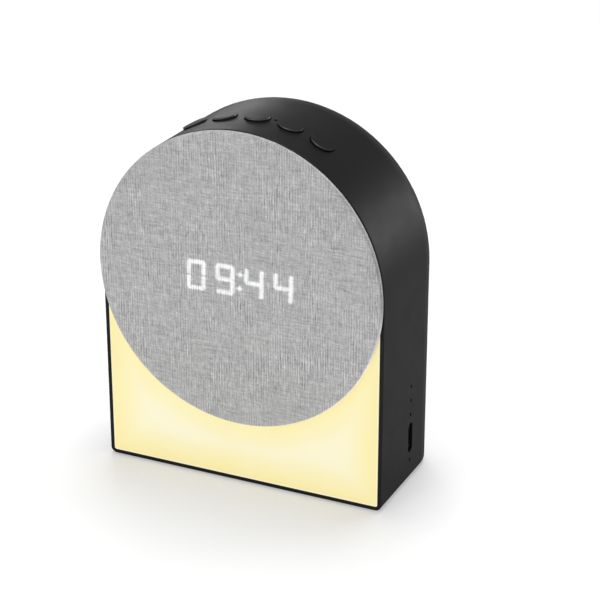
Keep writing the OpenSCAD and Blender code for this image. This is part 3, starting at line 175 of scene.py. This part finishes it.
class Nodes:
    """Short words for building one node tree."""

    def __init__(self, tree):
        self.tree = tree

    def add(self, kind, **settings):
        node = self.tree.nodes.new(kind)
        for name, value in settings.items():
            setattr(node, name, value)
        return node

    def link(self, source, target):
        self.tree.links.new(source, target)

    def put(self, target, value):
        """Links a socket, or sets a plain value."""
        if isinstance(value, bpy.types.NodeSocket):
            self.link(value, target)
        else:
            target.default_value = value

    def math(self, operation, a, b=None, c=None, clamp=False):
        """One step of arithmetic on numbers or sockets."""
        node = self.add("ShaderNodeMath", operation=operation, use_clamp=clamp)
        for socket, value in zip(node.inputs, (a, b, c)):
            if value is not None:
                self.put(socket, value)
        return node.outputs[0]

    def coordinates(self):
        return self.add("ShaderNodeTexCoord").outputs["Object"]

    def xyz(self, vector):
        node = self.add("ShaderNodeSeparateXYZ")
        self.link(vector, node.inputs[0])
        return node.outputs

    def vector(self, x, y, z):
        node = self.add("ShaderNodeCombineXYZ")
        for socket, value in zip(node.inputs, (x, y, z)):
            self.put(socket, value)
        return node.outputs[0]

    def scaled(self, vector, factors):
        """The vector with each axis multiplied by its own factor."""
        node = self.add("ShaderNodeVectorMath", operation="MULTIPLY")
        self.put(node.inputs[0], vector)
        node.inputs[1].default_value = factors
        return node.outputs[0]

    def noise(self, vector, scale, detail=2.0, roughness=0.5):
        node = self.add("ShaderNodeTexNoise")
        self.put(node.inputs["Vector"], vector)
        node.inputs["Scale"].default_value = scale
        node.inputs["Detail"].default_value = detail
        node.inputs["Roughness"].default_value = roughness
        return node.outputs["Fac"]

    def ramp(self, factor, stops):
        """Colours at their places, blended in between."""
        node = self.add("ShaderNodeValToRGB")
        self.link(factor, node.inputs[0])
        elements = node.color_ramp.elements
        while len(elements) < len(stops):
            elements.new(0.5)
        for element, (place, colour) in zip(elements, stops):
            element.position = place
            element.color = colour
        return node.outputs[0]

    def remap(self, value, low, high, to_low=0.0, to_high=1.0):
        """The value carried from one range to another, and held at its ends."""
        node = self.add("ShaderNodeMapRange")
        self.put(node.inputs["Value"], value)
        node.inputs["From Min"].default_value = low
        node.inputs["From Max"].default_value = high
        node.inputs["To Min"].default_value = to_low
        node.inputs["To Max"].default_value = to_high
        return node.outputs[0]

    def distance(self, a, b):
        """Length of the vector that has two sides a and b."""
        return self.math("SQRT", self.math("ADD", self.math("MULTIPLY", a, a), self.math("MULTIPLY", b, b)))

    def mix(self, factor, a, b):
        node = self.add("ShaderNodeMix", data_type="RGBA")
        self.put(node.inputs["Factor"], factor)
        self.put(node.inputs[6], a)
        self.put(node.inputs[7], b)
        return node.outputs[2]

    def bump(self, height, strength, distance):
        node = self.add("ShaderNodeBump")
        node.inputs["Strength"].default_value = strength
        node.inputs["Distance"].default_value = distance
        self.link(height, node.inputs["Height"])
        return node.outputs[0]


def material(name, roughness, metallic=0.0, **sockets):
    """A new material with its shader's constants set, and the helper for its nodes."""
    made = bpy.data.materials.new(name)
    made.use_nodes = True
    shader = made.node_tree.nodes["Principled BSDF"]
    shader.inputs["Roughness"].default_value = roughness
    shader.inputs["Metallic"].default_value = metallic
    for socket, value in sockets.items():
        shader.inputs[socket.replace("_", " ")].default_value = value
    return made, shader, Nodes(made.node_tree)


def mottled(name, colour, spread, scale, bump, bump_size, roughness, vary, **rest):
    """Moulded, coated or metal surface: fine grain in its colour, its roughness and its relief.

    spread is the grain's share of the colour, scale its features per metre, bump and bump_size the
    strength and depth of its relief, and vary what it adds to or takes from the roughness.
    """
    made, shader, n = material(name, roughness, **rest)
    place = n.coordinates()
    fine = n.noise(place, scale, 3.0, 0.6)
    broad = n.noise(place, scale / 14)
    both = n.math("ADD", n.math("MULTIPLY", fine, 0.6), n.math("MULTIPLY", broad, 0.4))
    base = linear(colour)
    tones = n.ramp(both, [(0.3, toned(base, 1 - spread)), (0.7, toned(base, 1 + spread))])
    n.link(tones, shader.inputs["Base Color"])
    n.link(n.remap(both, 0.3, 0.7, roughness - vary, roughness + vary), shader.inputs["Roughness"])
    n.link(n.bump(fine, bump, bump_size), shader.inputs["Normal"])
    return made


def satin(name, colour):
    """Black moulded plastic, a little glossier where it faces the viewer and dull where it turns away."""
    made = mottled(name, colour, 0.16, 1500, 0.22, 0.04 * MM, 0.46, 0.05)
    shader = made.node_tree.nodes["Principled BSDF"]
    n = Nodes(made.node_tree)
    facing = n.add("ShaderNodeLayerWeight").outputs["Facing"]
    front = n.remap(facing, 0.15, 0.42, 0.18, 0.036)
    turning = n.remap(facing, 0.7, 0.97, 1.0, 0.1)
    n.link(n.math("MULTIPLY", front, turning), shader.inputs["Specular IOR Level"])
    return made


def button_material():
    """The case's plastic, polished by use along the rounded edge of each button."""
    made = satin("button_black", CASE_COLOUR)
    gloss = made.node_tree.nodes["Principled BSDF"].inputs["Specular IOR Level"]
    n = Nodes(made.node_tree)
    x, _, z = n.xyz(n.coordinates())
    radius = n.distance(x, n.math("SUBTRACT", z, ARCH_HEIGHT))
    face_top, edge_top = [BUTTON_RADIUS - depth for depth in GLOSS_START]
    edge_foot, wall_top = [BUTTON_RADIUS - depth for depth in GLOSS_END]
    below_face = n.remap(radius, face_top, edge_top, 0.0, EDGE_GLOSS)
    above_wall = n.remap(radius, wall_top, edge_foot)
    edge = n.math("MULTIPLY", below_face, above_wall)
    n.link(n.math("MAXIMUM", gloss.links[0].from_socket, edge), gloss)
    return made


def brushed(name, colour, roughness, along):
    """Metal drawn or rolled along one axis, 0 to 2 for x to z, with fine lines."""
    made, shader, n = material(name, roughness, metallic=1.0)
    stretch = [1.0, 1.0, 1.0]
    stretch[along] = 0.04
    lines = n.noise(n.scaled(n.coordinates(), stretch), 4000, 3.0, 0.7)
    base = linear(colour)
    n.link(n.ramp(lines, [(0.3, toned(base, 0.82)), (0.7, base)]), shader.inputs["Base Color"])
    n.link(n.remap(lines, 0.2, 0.8, roughness - 0.08, roughness + 0.1), shader.inputs["Roughness"])
    n.link(n.bump(lines, 0.08, 0.03 * MM), shader.inputs["Normal"])
    return made


def fabric_material():
    """Heathered woven cloth with upright slubs, and the digits glowing through its threads."""
    made, shader, n = material("fabric_weave", 0.9, Sheen_Weight=0.06, Sheen_Roughness=0.5)
    shader.inputs["Specular IOR Level"].default_value = 0.2
    x, y, z = n.xyz(n.coordinates())

    # Place on the cloth laid flat, so that the weave runs on over the rim
    out_x = n.math("SUBTRACT", x, DISC_CENTRE.x)
    out_z = n.math("SUBTRACT", z, DISC_CENTRE.z)
    radius = n.math("MAXIMUM", n.distance(out_x, out_z), 1 * MM)
    unrolled = n.math("ADD", n.math("DIVIDE", n.math("SUBTRACT", y, DISC_FRONT), radius), 1.0)
    u = n.math("ADD", n.math("MULTIPLY", out_x, unrolled), DISC_CENTRE.x)
    v = n.math("ADD", n.math("MULTIPLY", out_z, unrolled), DISC_CENTRE.z)
    flat = n.vector(u, 0.0, v)

    # Each upright and level thread takes a place of its own in the noise, and so do their crossings
    column = n.math("FLOOR", n.math("DIVIDE", u, THREAD_PITCH))
    row = n.math("FLOOR", n.math("DIVIDE", v, THREAD_PITCH))
    warp_place = n.vector(n.math("MULTIPLY", column, 7.3), 0.0, n.math("MULTIPLY", v, WARP_DENSITY))
    warp = n.noise(warp_place, 1.0, 3.0, 0.6)
    weft_place = n.vector(n.math("MULTIPLY", u, WEFT_DENSITY), 5.0, n.math("MULTIPLY", row, 7.7))
    weft = n.noise(weft_place, 1.0, 2.0, 0.6)
    crossing_place = n.vector(n.math("MULTIPLY", column, 5.9), 11.0, n.math("MULTIPLY", row, 6.7))
    crossing = n.noise(crossing_place, 1.0, 1.0)

    # Uneven threads, in patches where the upright ones lead
    slub = n.noise(n.scaled(flat, (900, 1, 90)), 1.0)
    patch = n.noise(n.scaled(flat, (75, 1, 45)), 1.0)
    upright = n.remap(patch, 0.38, 0.62, 0.6, 1.25)
    flatwise = n.remap(patch, 0.38, 0.62, 0.7, 0.45)
    tone = n.math("MULTIPLY", n.math("SUBTRACT", warp, 0.5), upright)
    tone = n.math("ADD", tone, n.math("MULTIPLY", n.math("SUBTRACT", weft, 0.5), flatwise))
    tone = n.math("ADD", tone, n.math("MULTIPLY", n.math("SUBTRACT", crossing, 0.5), 0.5))
    tone = n.math("ADD", tone, n.math("MULTIPLY", n.math("SUBTRACT", slub, 0.5), 0.1))

    # Ribs that wander a little to the side
    drift = n.math("MULTIPLY", n.noise(n.scaled(flat, (120, 1, 30)), 1.0, 1.0), 9.0)
    ribs = n.math("COSINE", n.math("ADD", n.math("MULTIPLY", u, 2 * math.pi / RIB_PITCH), drift))
    tone = n.math("ADD", tone, n.math("MULTIPLY", ribs, n.remap(patch, 0.42, 0.62, 0.02, 0.14)))

    # Threads over and under each other
    across = n.math("COSINE", n.math("MULTIPLY", u, 2 * math.pi / THREAD_PITCH))
    along = n.math("COSINE", n.math("MULTIPLY", v, 2 * math.pi / THREAD_PITCH))
    over = n.math("MULTIPLY", across, along)
    height = n.math("ADD", n.math("MULTIPLY", over, 0.25), tone)

    # Greys of the threads, with painted shade where the cloth turns over the rim
    colour = n.ramp(n.math("ADD", tone, 0.5), [
        (0.0, linear((102, 102, 103))), (0.5, linear((183, 183, 183))), (1.0, linear((236, 236, 236)))
    ])
    shade_start, shade_full = [DISC_FRONT + depth for depth in PAINTED_SHADE_DEPTHS]
    painted_shade = n.remap(y, shade_start, shade_full, 0.0, PAINTED_RIM_SHADE)
    n.link(n.mix(painted_shade, colour, linear((0, 0, 0))), shader.inputs["Base Color"])
    n.link(n.bump(height, 0.35, WEAVE_RELIEF), shader.inputs["Normal"])

    # Digits through the threads, and the panel's light on the lower rim
    glow = digit_glow(n, x, z)
    woven = n.math("MULTIPLY", glow, n.remap(tone, -0.3, 0.3, 0.42, 0.58))
    low = n.remap(z, DISC_CENTRE.z, DISC_CENTRE.z - SPILL_FALL, 0.0, SPILL)
    spill_start, spill_full = [DISC_FRONT + depth for depth in SPILL_DEPTHS]
    spill = n.math("MULTIPLY", low, n.remap(y, spill_start, spill_full))
    n.link(n.mix(spill, linear((252, 254, 255)), linear((255, 241, 190))), shader.inputs["Emission Color"])
    n.link(n.math("ADD", woven, spill), shader.inputs["Emission Strength"])
    return made


def segment_group():
    """Node group: the distance from a point to the stretch between two ends, in the disc's plane."""
    group = bpy.data.node_groups.new("distance_to_segment", "ShaderNodeTree")
    for name in ("Point", "Start", "Way"):
        group.interface.new_socket(name, in_out="INPUT", socket_type="NodeSocketVector")
    group.interface.new_socket("Distance", in_out="OUTPUT", socket_type="NodeSocketFloat")
    n = Nodes(group)
    source = n.add("NodeGroupInput")
    target = n.add("NodeGroupOutput")

    def vector_math(operation, a, b=None, scale=None):
        node = n.add("ShaderNodeVectorMath", operation=operation)
        n.put(node.inputs[0], a)
        if b is not None:
            n.put(node.inputs[1], b)
        if scale is not None:
            n.put(node.inputs["Scale"], scale)
        return node.outputs["Value"] if operation in ("DOT_PRODUCT", "LENGTH") else node.outputs[0]

    offset = vector_math("SUBTRACT", source.outputs["Point"], source.outputs["Start"])
    way = source.outputs["Way"]
    share = n.math(
        "DIVIDE", vector_math("DOT_PRODUCT", offset, way), vector_math("DOT_PRODUCT", way, way), clamp=True
    )
    nearest = vector_math("SUBTRACT", offset, vector_math("SCALE", way, scale=share))
    n.link(vector_math("LENGTH", nearest), target.inputs["Distance"])
    return group


def digit_glow(n, x, z):
    """1 inside the lit segments and the colon, falling softly to 0 round them."""
    middle = (LIT_LOW + LIT_HIGH) / 2
    half_row = (len(DIGITS) - 1) / 2
    out = n.math("SUBTRACT", x, middle.x)
    rise = n.math("MULTIPLY", n.math("ADD", out, half_row * DIGIT_PITCH), ROW_RISE)
    up = n.math("SUBTRACT", n.math("SUBTRACT", z, middle.z), rise)
    across = n.math("SUBTRACT", out, n.math("MULTIPLY", up, SLANT))
    point = n.vector(across, 0.0, up)
    group = segment_group()

    # Where each lit segment starts in its digit, and the way to its other end
    reach_x = (DIGIT_WIDTH - STROKE) / 2
    reach_z = (DIGIT_HEIGHT - STROKE) / 2
    wide = 2 * (reach_x - DIGIT_CORNER)
    stretches = []
    for i, digit in enumerate(DIGITS):
        shift = (i - half_row) * DIGIT_PITCH
        waist = WAIST_LIT if "g" in LIT_SEGMENTS[digit] else WAIST_DARK
        left = -reach_x + DIGIT_CORNER
        top = reach_z - DIGIT_CORNER
        tall = top - waist
        starts = {
            "a": ((left, reach_z), (wide, 0)), "b": ((reach_x, top), (0, -tall)),
            "c": ((reach_x, -waist), (0, -tall)), "d": ((left, -reach_z), (wide, 0)),
            "e": ((-reach_x, -waist), (0, -tall)), "f": ((-reach_x, top), (0, -tall)),
            "g": ((left, 0), (wide, 0)),
        }
        for name in LIT_SEGMENTS[digit]:
            (sx, sz), (wx, wz) = starts[name]
            stretches.append(((sx + shift, 0, sz), (wx, 0, wz)))

    nearest = None
    for start, way in stretches:
        node = n.add("ShaderNodeGroup")
        node.node_tree = group
        n.link(point, node.inputs["Point"])
        node.inputs["Start"].default_value = start
        node.inputs["Way"].default_value = way
        distance = node.outputs["Distance"]
        nearest = distance if nearest is None else n.math("MINIMUM", nearest, distance)

    # Each dot of the colon is a diamond a little wider than high
    for side in (-1, 1):
        above = n.math("ABSOLUTE", n.math("SUBTRACT", up, side * COLON_RISE))
        beside = n.math("ABSOLUTE", n.math("SUBTRACT", across, COLON_SHIFT))
        dot = n.math("ADD", n.math("MULTIPLY", beside, 0.65), n.math("MULTIPLY", above, 0.8))
        nearest = n.math("MINIMUM", nearest, dot)

    half = STROKE / 2 + STROKE_SPREAD
    node = n.add("ShaderNodeMapRange", interpolation_type="SMOOTHSTEP")
    n.link(nearest, node.inputs["Value"])
    node.inputs["From Min"].default_value = half + GLOW_SOFTNESS / 2
    node.inputs["From Max"].default_value = half - GLOW_SOFTNESS / 2
    return node.outputs[0]


def panel_material():
    """Opal panel lit from behind: palest in the middle, warmer near its edges, with a pale outline."""
    made, shader, n = material("lit_opal", 0.45)
    x, _, z = n.xyz(n.coordinates())
    sides = n.math("SUBTRACT", PANEL_HIGH.x, n.math("ABSOLUTE", x))
    bottom = n.math("SUBTRACT", z, PANEL_LOW.z)
    radius = n.distance(n.math("SUBTRACT", x, DISC_CENTRE.x), n.math("SUBTRACT", z, DISC_CENTRE.z))
    rim = n.math("ADD", n.math("SUBTRACT", radius, DISC_RADIUS), DISC_OVERLAP)
    edge = n.math("SMOOTH_MIN", n.math("SMOOTH_MIN", sides, bottom, EDGE_BLEND), rim, EDGE_BLEND)
    cloudy = n.noise(n.coordinates(), 60)
    reach = n.math("ADD", edge, n.remap(cloudy, 0.3, 0.7, -1 * MM, 1 * MM))
    colour = n.ramp(n.remap(reach, 0, GLOW_REACH), [
        (0.0, linear((250, 236, 168))), (0.25, linear((250, 240, 184))), (0.6, linear((251, 244, 208))),
        (1.0, linear((251, 246, 218)))
    ])
    outline = n.remap(n.math("MINIMUM", sides, bottom), *OUTLINE)
    colour = n.mix(n.math("MULTIPLY", outline, 0.6), colour, linear((255, 252, 226)))
    n.link(n.mix(PANEL_SHADE, colour, linear((0, 0, 0))), shader.inputs["Base Color"])
    n.link(colour, shader.inputs["Emission Color"])
    n.link(n.remap(z, PANEL_LOW.z, DISC_CENTRE.z, *PANEL_GLOW), shader.inputs["Emission Strength"])
    grain = n.noise(n.coordinates(), 2500)
    n.link(n.bump(grain, 0.05, 0.02 * MM), shader.inputs["Normal"])
    return made


def new_piece(name, mesh, body):
    """Puts a mesh in the scene as a piece that rides on a body."""
    piece = bpy.data.objects.new(name, mesh)
    bpy.context.scene.collection.objects.link(piece)
    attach(piece, body)
    return piece


def cloth_profile():
    """Half outline of the stretched cloth as radius and depth, from its middle round the rim to the hem."""
    back = DISC_HIGH.y
    front_bend = DISC_RADIUS - CLOTH_EDGE
    back_bend = DISC_RADIUS - CLOTH_BACK_EDGE
    turns = [math.pi / 2 * i / EDGE_STEPS for i in range(EDGE_STEPS + 1)]
    points = [(i * RING_STEP, DISC_FRONT) for i in range(1, int(front_bend / RING_STEP))]
    for turn in turns:
        radius = front_bend + CLOTH_EDGE * math.sin(turn)
        points.append((radius, DISC_FRONT + CLOTH_EDGE - CLOTH_EDGE * math.cos(turn)))
    for turn in turns:
        radius = back_bend + CLOTH_BACK_EDGE * math.cos(turn)
        points.append((radius, back - CLOTH_BACK_EDGE + CLOTH_BACK_EDGE * math.sin(turn)))
    for i in range(1, HEM_STEPS + 1):
        points.append((back_bend - (HEM_WIDTH - CLOTH_BACK_EDGE) * i / HEM_STEPS, back))
    return points


def hem_fold(step, turn):
    """How far the gathered hem dips forward from the disc's back, at one of its steps and one turn."""
    return FOLD_DEPTH * (step / HEM_STEPS) * (1 - math.cos(turn * HEM_FOLDS + 0.7 * math.sin(turn * 5)))


def cloth():
    """The grey cloth as one stretched sheet: flat in front, round over the rim, gathered behind."""
    bm = bmesh.new()
    profile = cloth_profile()
    hem_start = len(profile) - HEM_STEPS
    rings = []
    for j, (radius, depth) in enumerate(profile):
        ring = []
        hem_step = max(0, j - hem_start + 1)
        for i in range(TURN_STEPS):
            turn = 2 * math.pi * i / TURN_STEPS
            x = DISC_CENTRE.x + radius * math.sin(turn)
            z = DISC_CENTRE.z + radius * math.cos(turn)
            ring.append(bm.verts.new((x, depth - hem_fold(hem_step, turn), z)))
        rings.append(ring)
    middle = bm.verts.new((DISC_CENTRE.x, DISC_FRONT, DISC_CENTRE.z))
    for i in range(TURN_STEPS):
        k = (i + 1) % TURN_STEPS
        bm.faces.new((middle, rings[0][i], rings[0][k]))
        for inner, outer in zip(rings, rings[1:]):
            bm.faces.new((inner[i], outer[i], outer[k], inner[k]))
    bmesh.ops.recalc_face_normals(bm, faces=bm.faces)
    for face in bm.faces:
        face.smooth = True
    mesh = bpy.data.meshes.new("woven_cover")
    bm.to_mesh(mesh)
    bm.free()
    piece = new_piece("woven_cover", mesh, "case")
    if mesh.polygons[0].normal.y > 0:
        mesh.flip_normals()
    thick = piece.modifiers.new("thickness", "SOLIDIFY")
    thick.thickness = CLOTH_THICKNESS
    thick.offset = -1
    mesh.materials.append(fabric_material())
    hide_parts("fabric_cover")


def segment_material():
    """Pale display segment that gives light."""
    made, shader, n = material("segment_lit", 0.4)
    grain = n.noise(n.coordinates(), 900)
    tones = n.ramp(grain, [(0.3, linear((236, 236, 234))), (0.7, linear((250, 250, 248)))])
    n.link(tones, shader.inputs["Base Color"])
    shader.inputs["Emission Color"].default_value = linear((255, 255, 252))
    shader.inputs["Emission Strength"].default_value = 1.0
    return made


def dress():
    """Gives every CAD node its material."""
    case = satin("case_black", CASE_COLOUR)
    button = button_material()
    rubber = mottled("foot_rubber", (24, 24, 24), 0.2, 1200, 0.3, 0.05 * MM, 0.85, 0.05)
    white = mottled("frame_white", (232, 231, 226), 0.03, 700, 0.1, 0.03 * MM, 0.5, 0.05)
    dark = mottled("plate_black", (36, 36, 38), 0.15, 900, 0.15, 0.03 * MM, 0.55, 0.05)
    moulded = mottled("switch_black", (24, 24, 26), 0.12, 1400, 0.12, 0.02 * MM, 0.45, 0.05)
    board = mottled("board_green", (26, 92, 56), 0.18, 300, 0.06, 0.02 * MM, 0.35, 0.05)
    lamp_board = mottled("lamp_board_white", (240, 240, 235), 0.02, 500, 0.05, 0.02 * MM, 0.35, 0.04)
    yellow = mottled("lamp_yellow", (250, 214, 110), 0.1, 900, 0.05, 0.02 * MM, 0.25, 0.05)
    amber = mottled("flex_amber", (196, 132, 42), 0.15, 500, 0.05, 0.02 * MM, 0.3, 0.05)
    cream = mottled("connector_cream", (228, 221, 200), 0.05, 900, 0.1, 0.02 * MM, 0.5, 0.05)
    ivory = mottled("plunger_ivory", (204, 196, 178), 0.05, 1200, 0.1, 0.02 * MM, 0.45, 0.05)
    grey = mottled("ribbon_grey", (206, 204, 196), 0.06, 700, 0.05, 0.02 * MM, 0.4, 0.05)
    red = mottled("lead_red", (150, 30, 30), 0.1, 900, 0.05, 0.02 * MM, 0.5, 0.05)
    foam = mottled("foam_grey", (52, 52, 54), 0.3, 1600, 0.5, 0.1 * MM, 0.95, 0.04)
    paper = mottled("cone_paper", (58, 53, 50), 0.25, 1300, 0.4, 0.05 * MM, 0.9, 0.05)
    tape = mottled("tape_white", (236, 236, 232), 0.04, 1100, 0.2, 0.03 * MM, 0.8, 0.05)
    sleeve = mottled("cell_blue", (40, 112, 170), 0.1, 250, 0.05, 0.02 * MM, 0.3, 0.05)
    smoke = mottled("pipe_smoke", (44, 44, 46), 0.1, 900, 0.05, 0.02 * MM, 0.2, 0.04)
    lens = mottled("lamp_white", (238, 238, 232), 0.04, 900, 0.05, 0.02 * MM, 0.2, 0.04)
    resin = mottled("segment_dark", (134, 134, 128), 0.06, 900, 0.05, 0.02 * MM, 0.35, 0.05)
    steel = brushed("bright_metal", (196, 198, 200), 0.3, 0)
    magnet = brushed("magnet_steel", (150, 152, 156), 0.38, 1)
    port = brushed("port_black", (58, 58, 62), 0.34, 0)
    oxide = brushed("screw_black", (62, 62, 66), 0.42, 2)
    painted = mottled("basket_steel", (92, 94, 98), 0.12, 800, 0.1, 0.02 * MM, 0.4, 0.05, metallic=0.6)
    lit = segment_material()
    worn = {
        "housing": case, "rubber_feet": rubber, "inner_frame": white, "diffuser_panel": panel_material(),
        "panel_tape": tape, "light_board": lamp_board, "warm_lamps": yellow, "disc_plate": dark,
        "display_block": dark, "lit_segments": lit, "dark_segments": resin, "display_board": board,
        "speaker_gasket": foam, "speaker_basket": painted, "speaker_surround": rubber, "speaker_cone": paper,
        "speaker_magnet": magnet, "key_switches": moulded, "switch_flex": amber, "button_guide": dark,
        "switch_carrier": dark, "microphone": steel, "microphone_boot": rubber, "main_board": board,
        "shield_can": steel, "board_chips": moulded, "capacitors": steel, "board_connectors": cream,
        "coin_cell_holder": moulded, "coin_cell": steel, "power_board": board, "usb_shell": port,
        "usb_tongue": moulded, "indicator_lamps": lens, "indicator_pipes": smoke, "reset_switch": moulded,
        "reset_plunger": ivory, "battery_cell": sleeve, "battery_cradle": white, "battery_clip": dark,
        "case_screws": oxide, "disc_screws": steel, "inner_screws": steel, "display_ribbon": grey,
        "button_ribbon": amber, "speaker_leads": red, "light_leads": red, "power_leads": red,
        "battery_leads": red, "fabric_cover": dark,
    }
    for i in range(1, 6):
        worn[f"button_{i}"] = button
        worn[f"switch_plunger_{i}"] = ivory
    for name, node in NODES.items():
        for place in node.material_slots:
            place.material = worn[name]


def seen_directly(n):
    """1 for the rays that show the background: from the camera, in a reflection or through glass."""
    path = n.add("ShaderNodeLightPath")
    seen = n.math("MAXIMUM", path.outputs["Is Camera Ray"], path.outputs["Is Glossy Ray"])
    return n.math("MAXIMUM", seen, path.outputs["Is Transmission Ray"])


def floor():
    """White floor that keeps the object's shadow."""
    corners = [(x * FLOOR_SIZE, y * FLOOR_SIZE, 0) for x, y in ((-1, -1), (1, -1), (1, 1), (-1, 1))]
    mesh = bpy.data.meshes.new("floor")
    mesh.from_pydata(corners, [], [(0, 1, 2, 3)])
    piece = bpy.data.objects.new("floor", mesh)
    bpy.context.scene.collection.objects.link(piece)
    made = bpy.data.materials.new("white_floor")
    made.use_nodes = True
    n = Nodes(made.node_tree)
    made.node_tree.nodes.clear()
    out = n.add("ShaderNodeOutputMaterial")
    diffuse = n.add("ShaderNodeBsdfDiffuse")
    diffuse.inputs["Color"].default_value = FLOOR_COLOUR
    shine = n.add("ShaderNodeEmission")
    blend = n.add("ShaderNodeMixShader")
    x, y, _ = n.xyz(n.coordinates())
    glow = n.remap(n.distance(x, y), FLOOR_GLOW_START, FLOOR_GLOW_END, FLOOR_GLOW, 1.0)
    n.link(n.math("MULTIPLY", seen_directly(n), glow), blend.inputs[0])
    n.link(diffuse.outputs[0], blend.inputs[1])
    n.link(shine.outputs[0], blend.inputs[2])
    n.link(blend.outputs[0], out.inputs["Surface"])
    mesh.materials.append(made)


def world():
    """White all round: plain light on the object, and a clean white behind it."""
    made = bpy.data.worlds.new("studio")
    bpy.context.scene.world = made
    made.use_nodes = True
    n = Nodes(made.node_tree)
    made.node_tree.nodes.clear()
    out = n.add("ShaderNodeOutputWorld")
    light = n.add("ShaderNodeBackground")
    light.inputs["Color"].default_value = WHITE
    light.inputs["Strength"].default_value = WORLD_LIGHT
    seen = n.add("ShaderNodeBackground")
    seen.inputs["Color"].default_value = WHITE
    blend = n.add("ShaderNodeMixShader")
    n.link(seen_directly(n), blend.inputs[0])
    n.link(light.outputs[0], blend.inputs[1])
    n.link(seen.outputs[0], blend.inputs[2])
    n.link(blend.outputs[0], out.inputs["Surface"])


def lamp(name, place, size, power):
    """Square soft light aimed at the clock."""
    data = bpy.data.lights.new(name, "AREA")
    data.size = size
    data.energy = power
    made = bpy.data.objects.new(name, data)
    bpy.context.scene.collection.objects.link(made)
    made.location = place
    made.rotation_mode = "QUATERNION"
    made.rotation_quaternion = (Vector(LAMP_AIM) - Vector(place)).to_track_quat("-Z", "Y")


def camera():
    """The camera that looks from the photograph's side."""
    level = math.cos(CAMERA_ELEVATION)
    back = Vector((
        math.sin(CAMERA_AZIMUTH) * level, -math.cos(CAMERA_AZIMUTH) * level, math.sin(CAMERA_ELEVATION)
    ))
    data = bpy.data.cameras.new("camera")
    data.lens = CAMERA_LENS
    data.sensor_width = CAMERA_SENSOR
    made = bpy.data.objects.new("camera", data)
    bpy.context.scene.collection.objects.link(made)
    made.location = CAMERA_TARGET + back * CAMERA_DISTANCE
    made.rotation_mode = "QUATERNION"
    made.rotation_quaternion = (-back).to_track_quat("-Z", "Y")
    bpy.context.scene.camera = made


camera()
dress()
cloth()
floor()
world()
for name, place, size, power in LAMPS:
    lamp(name, place, size, power)
bpy.context.scene.view_settings.view_transform = "Standard"
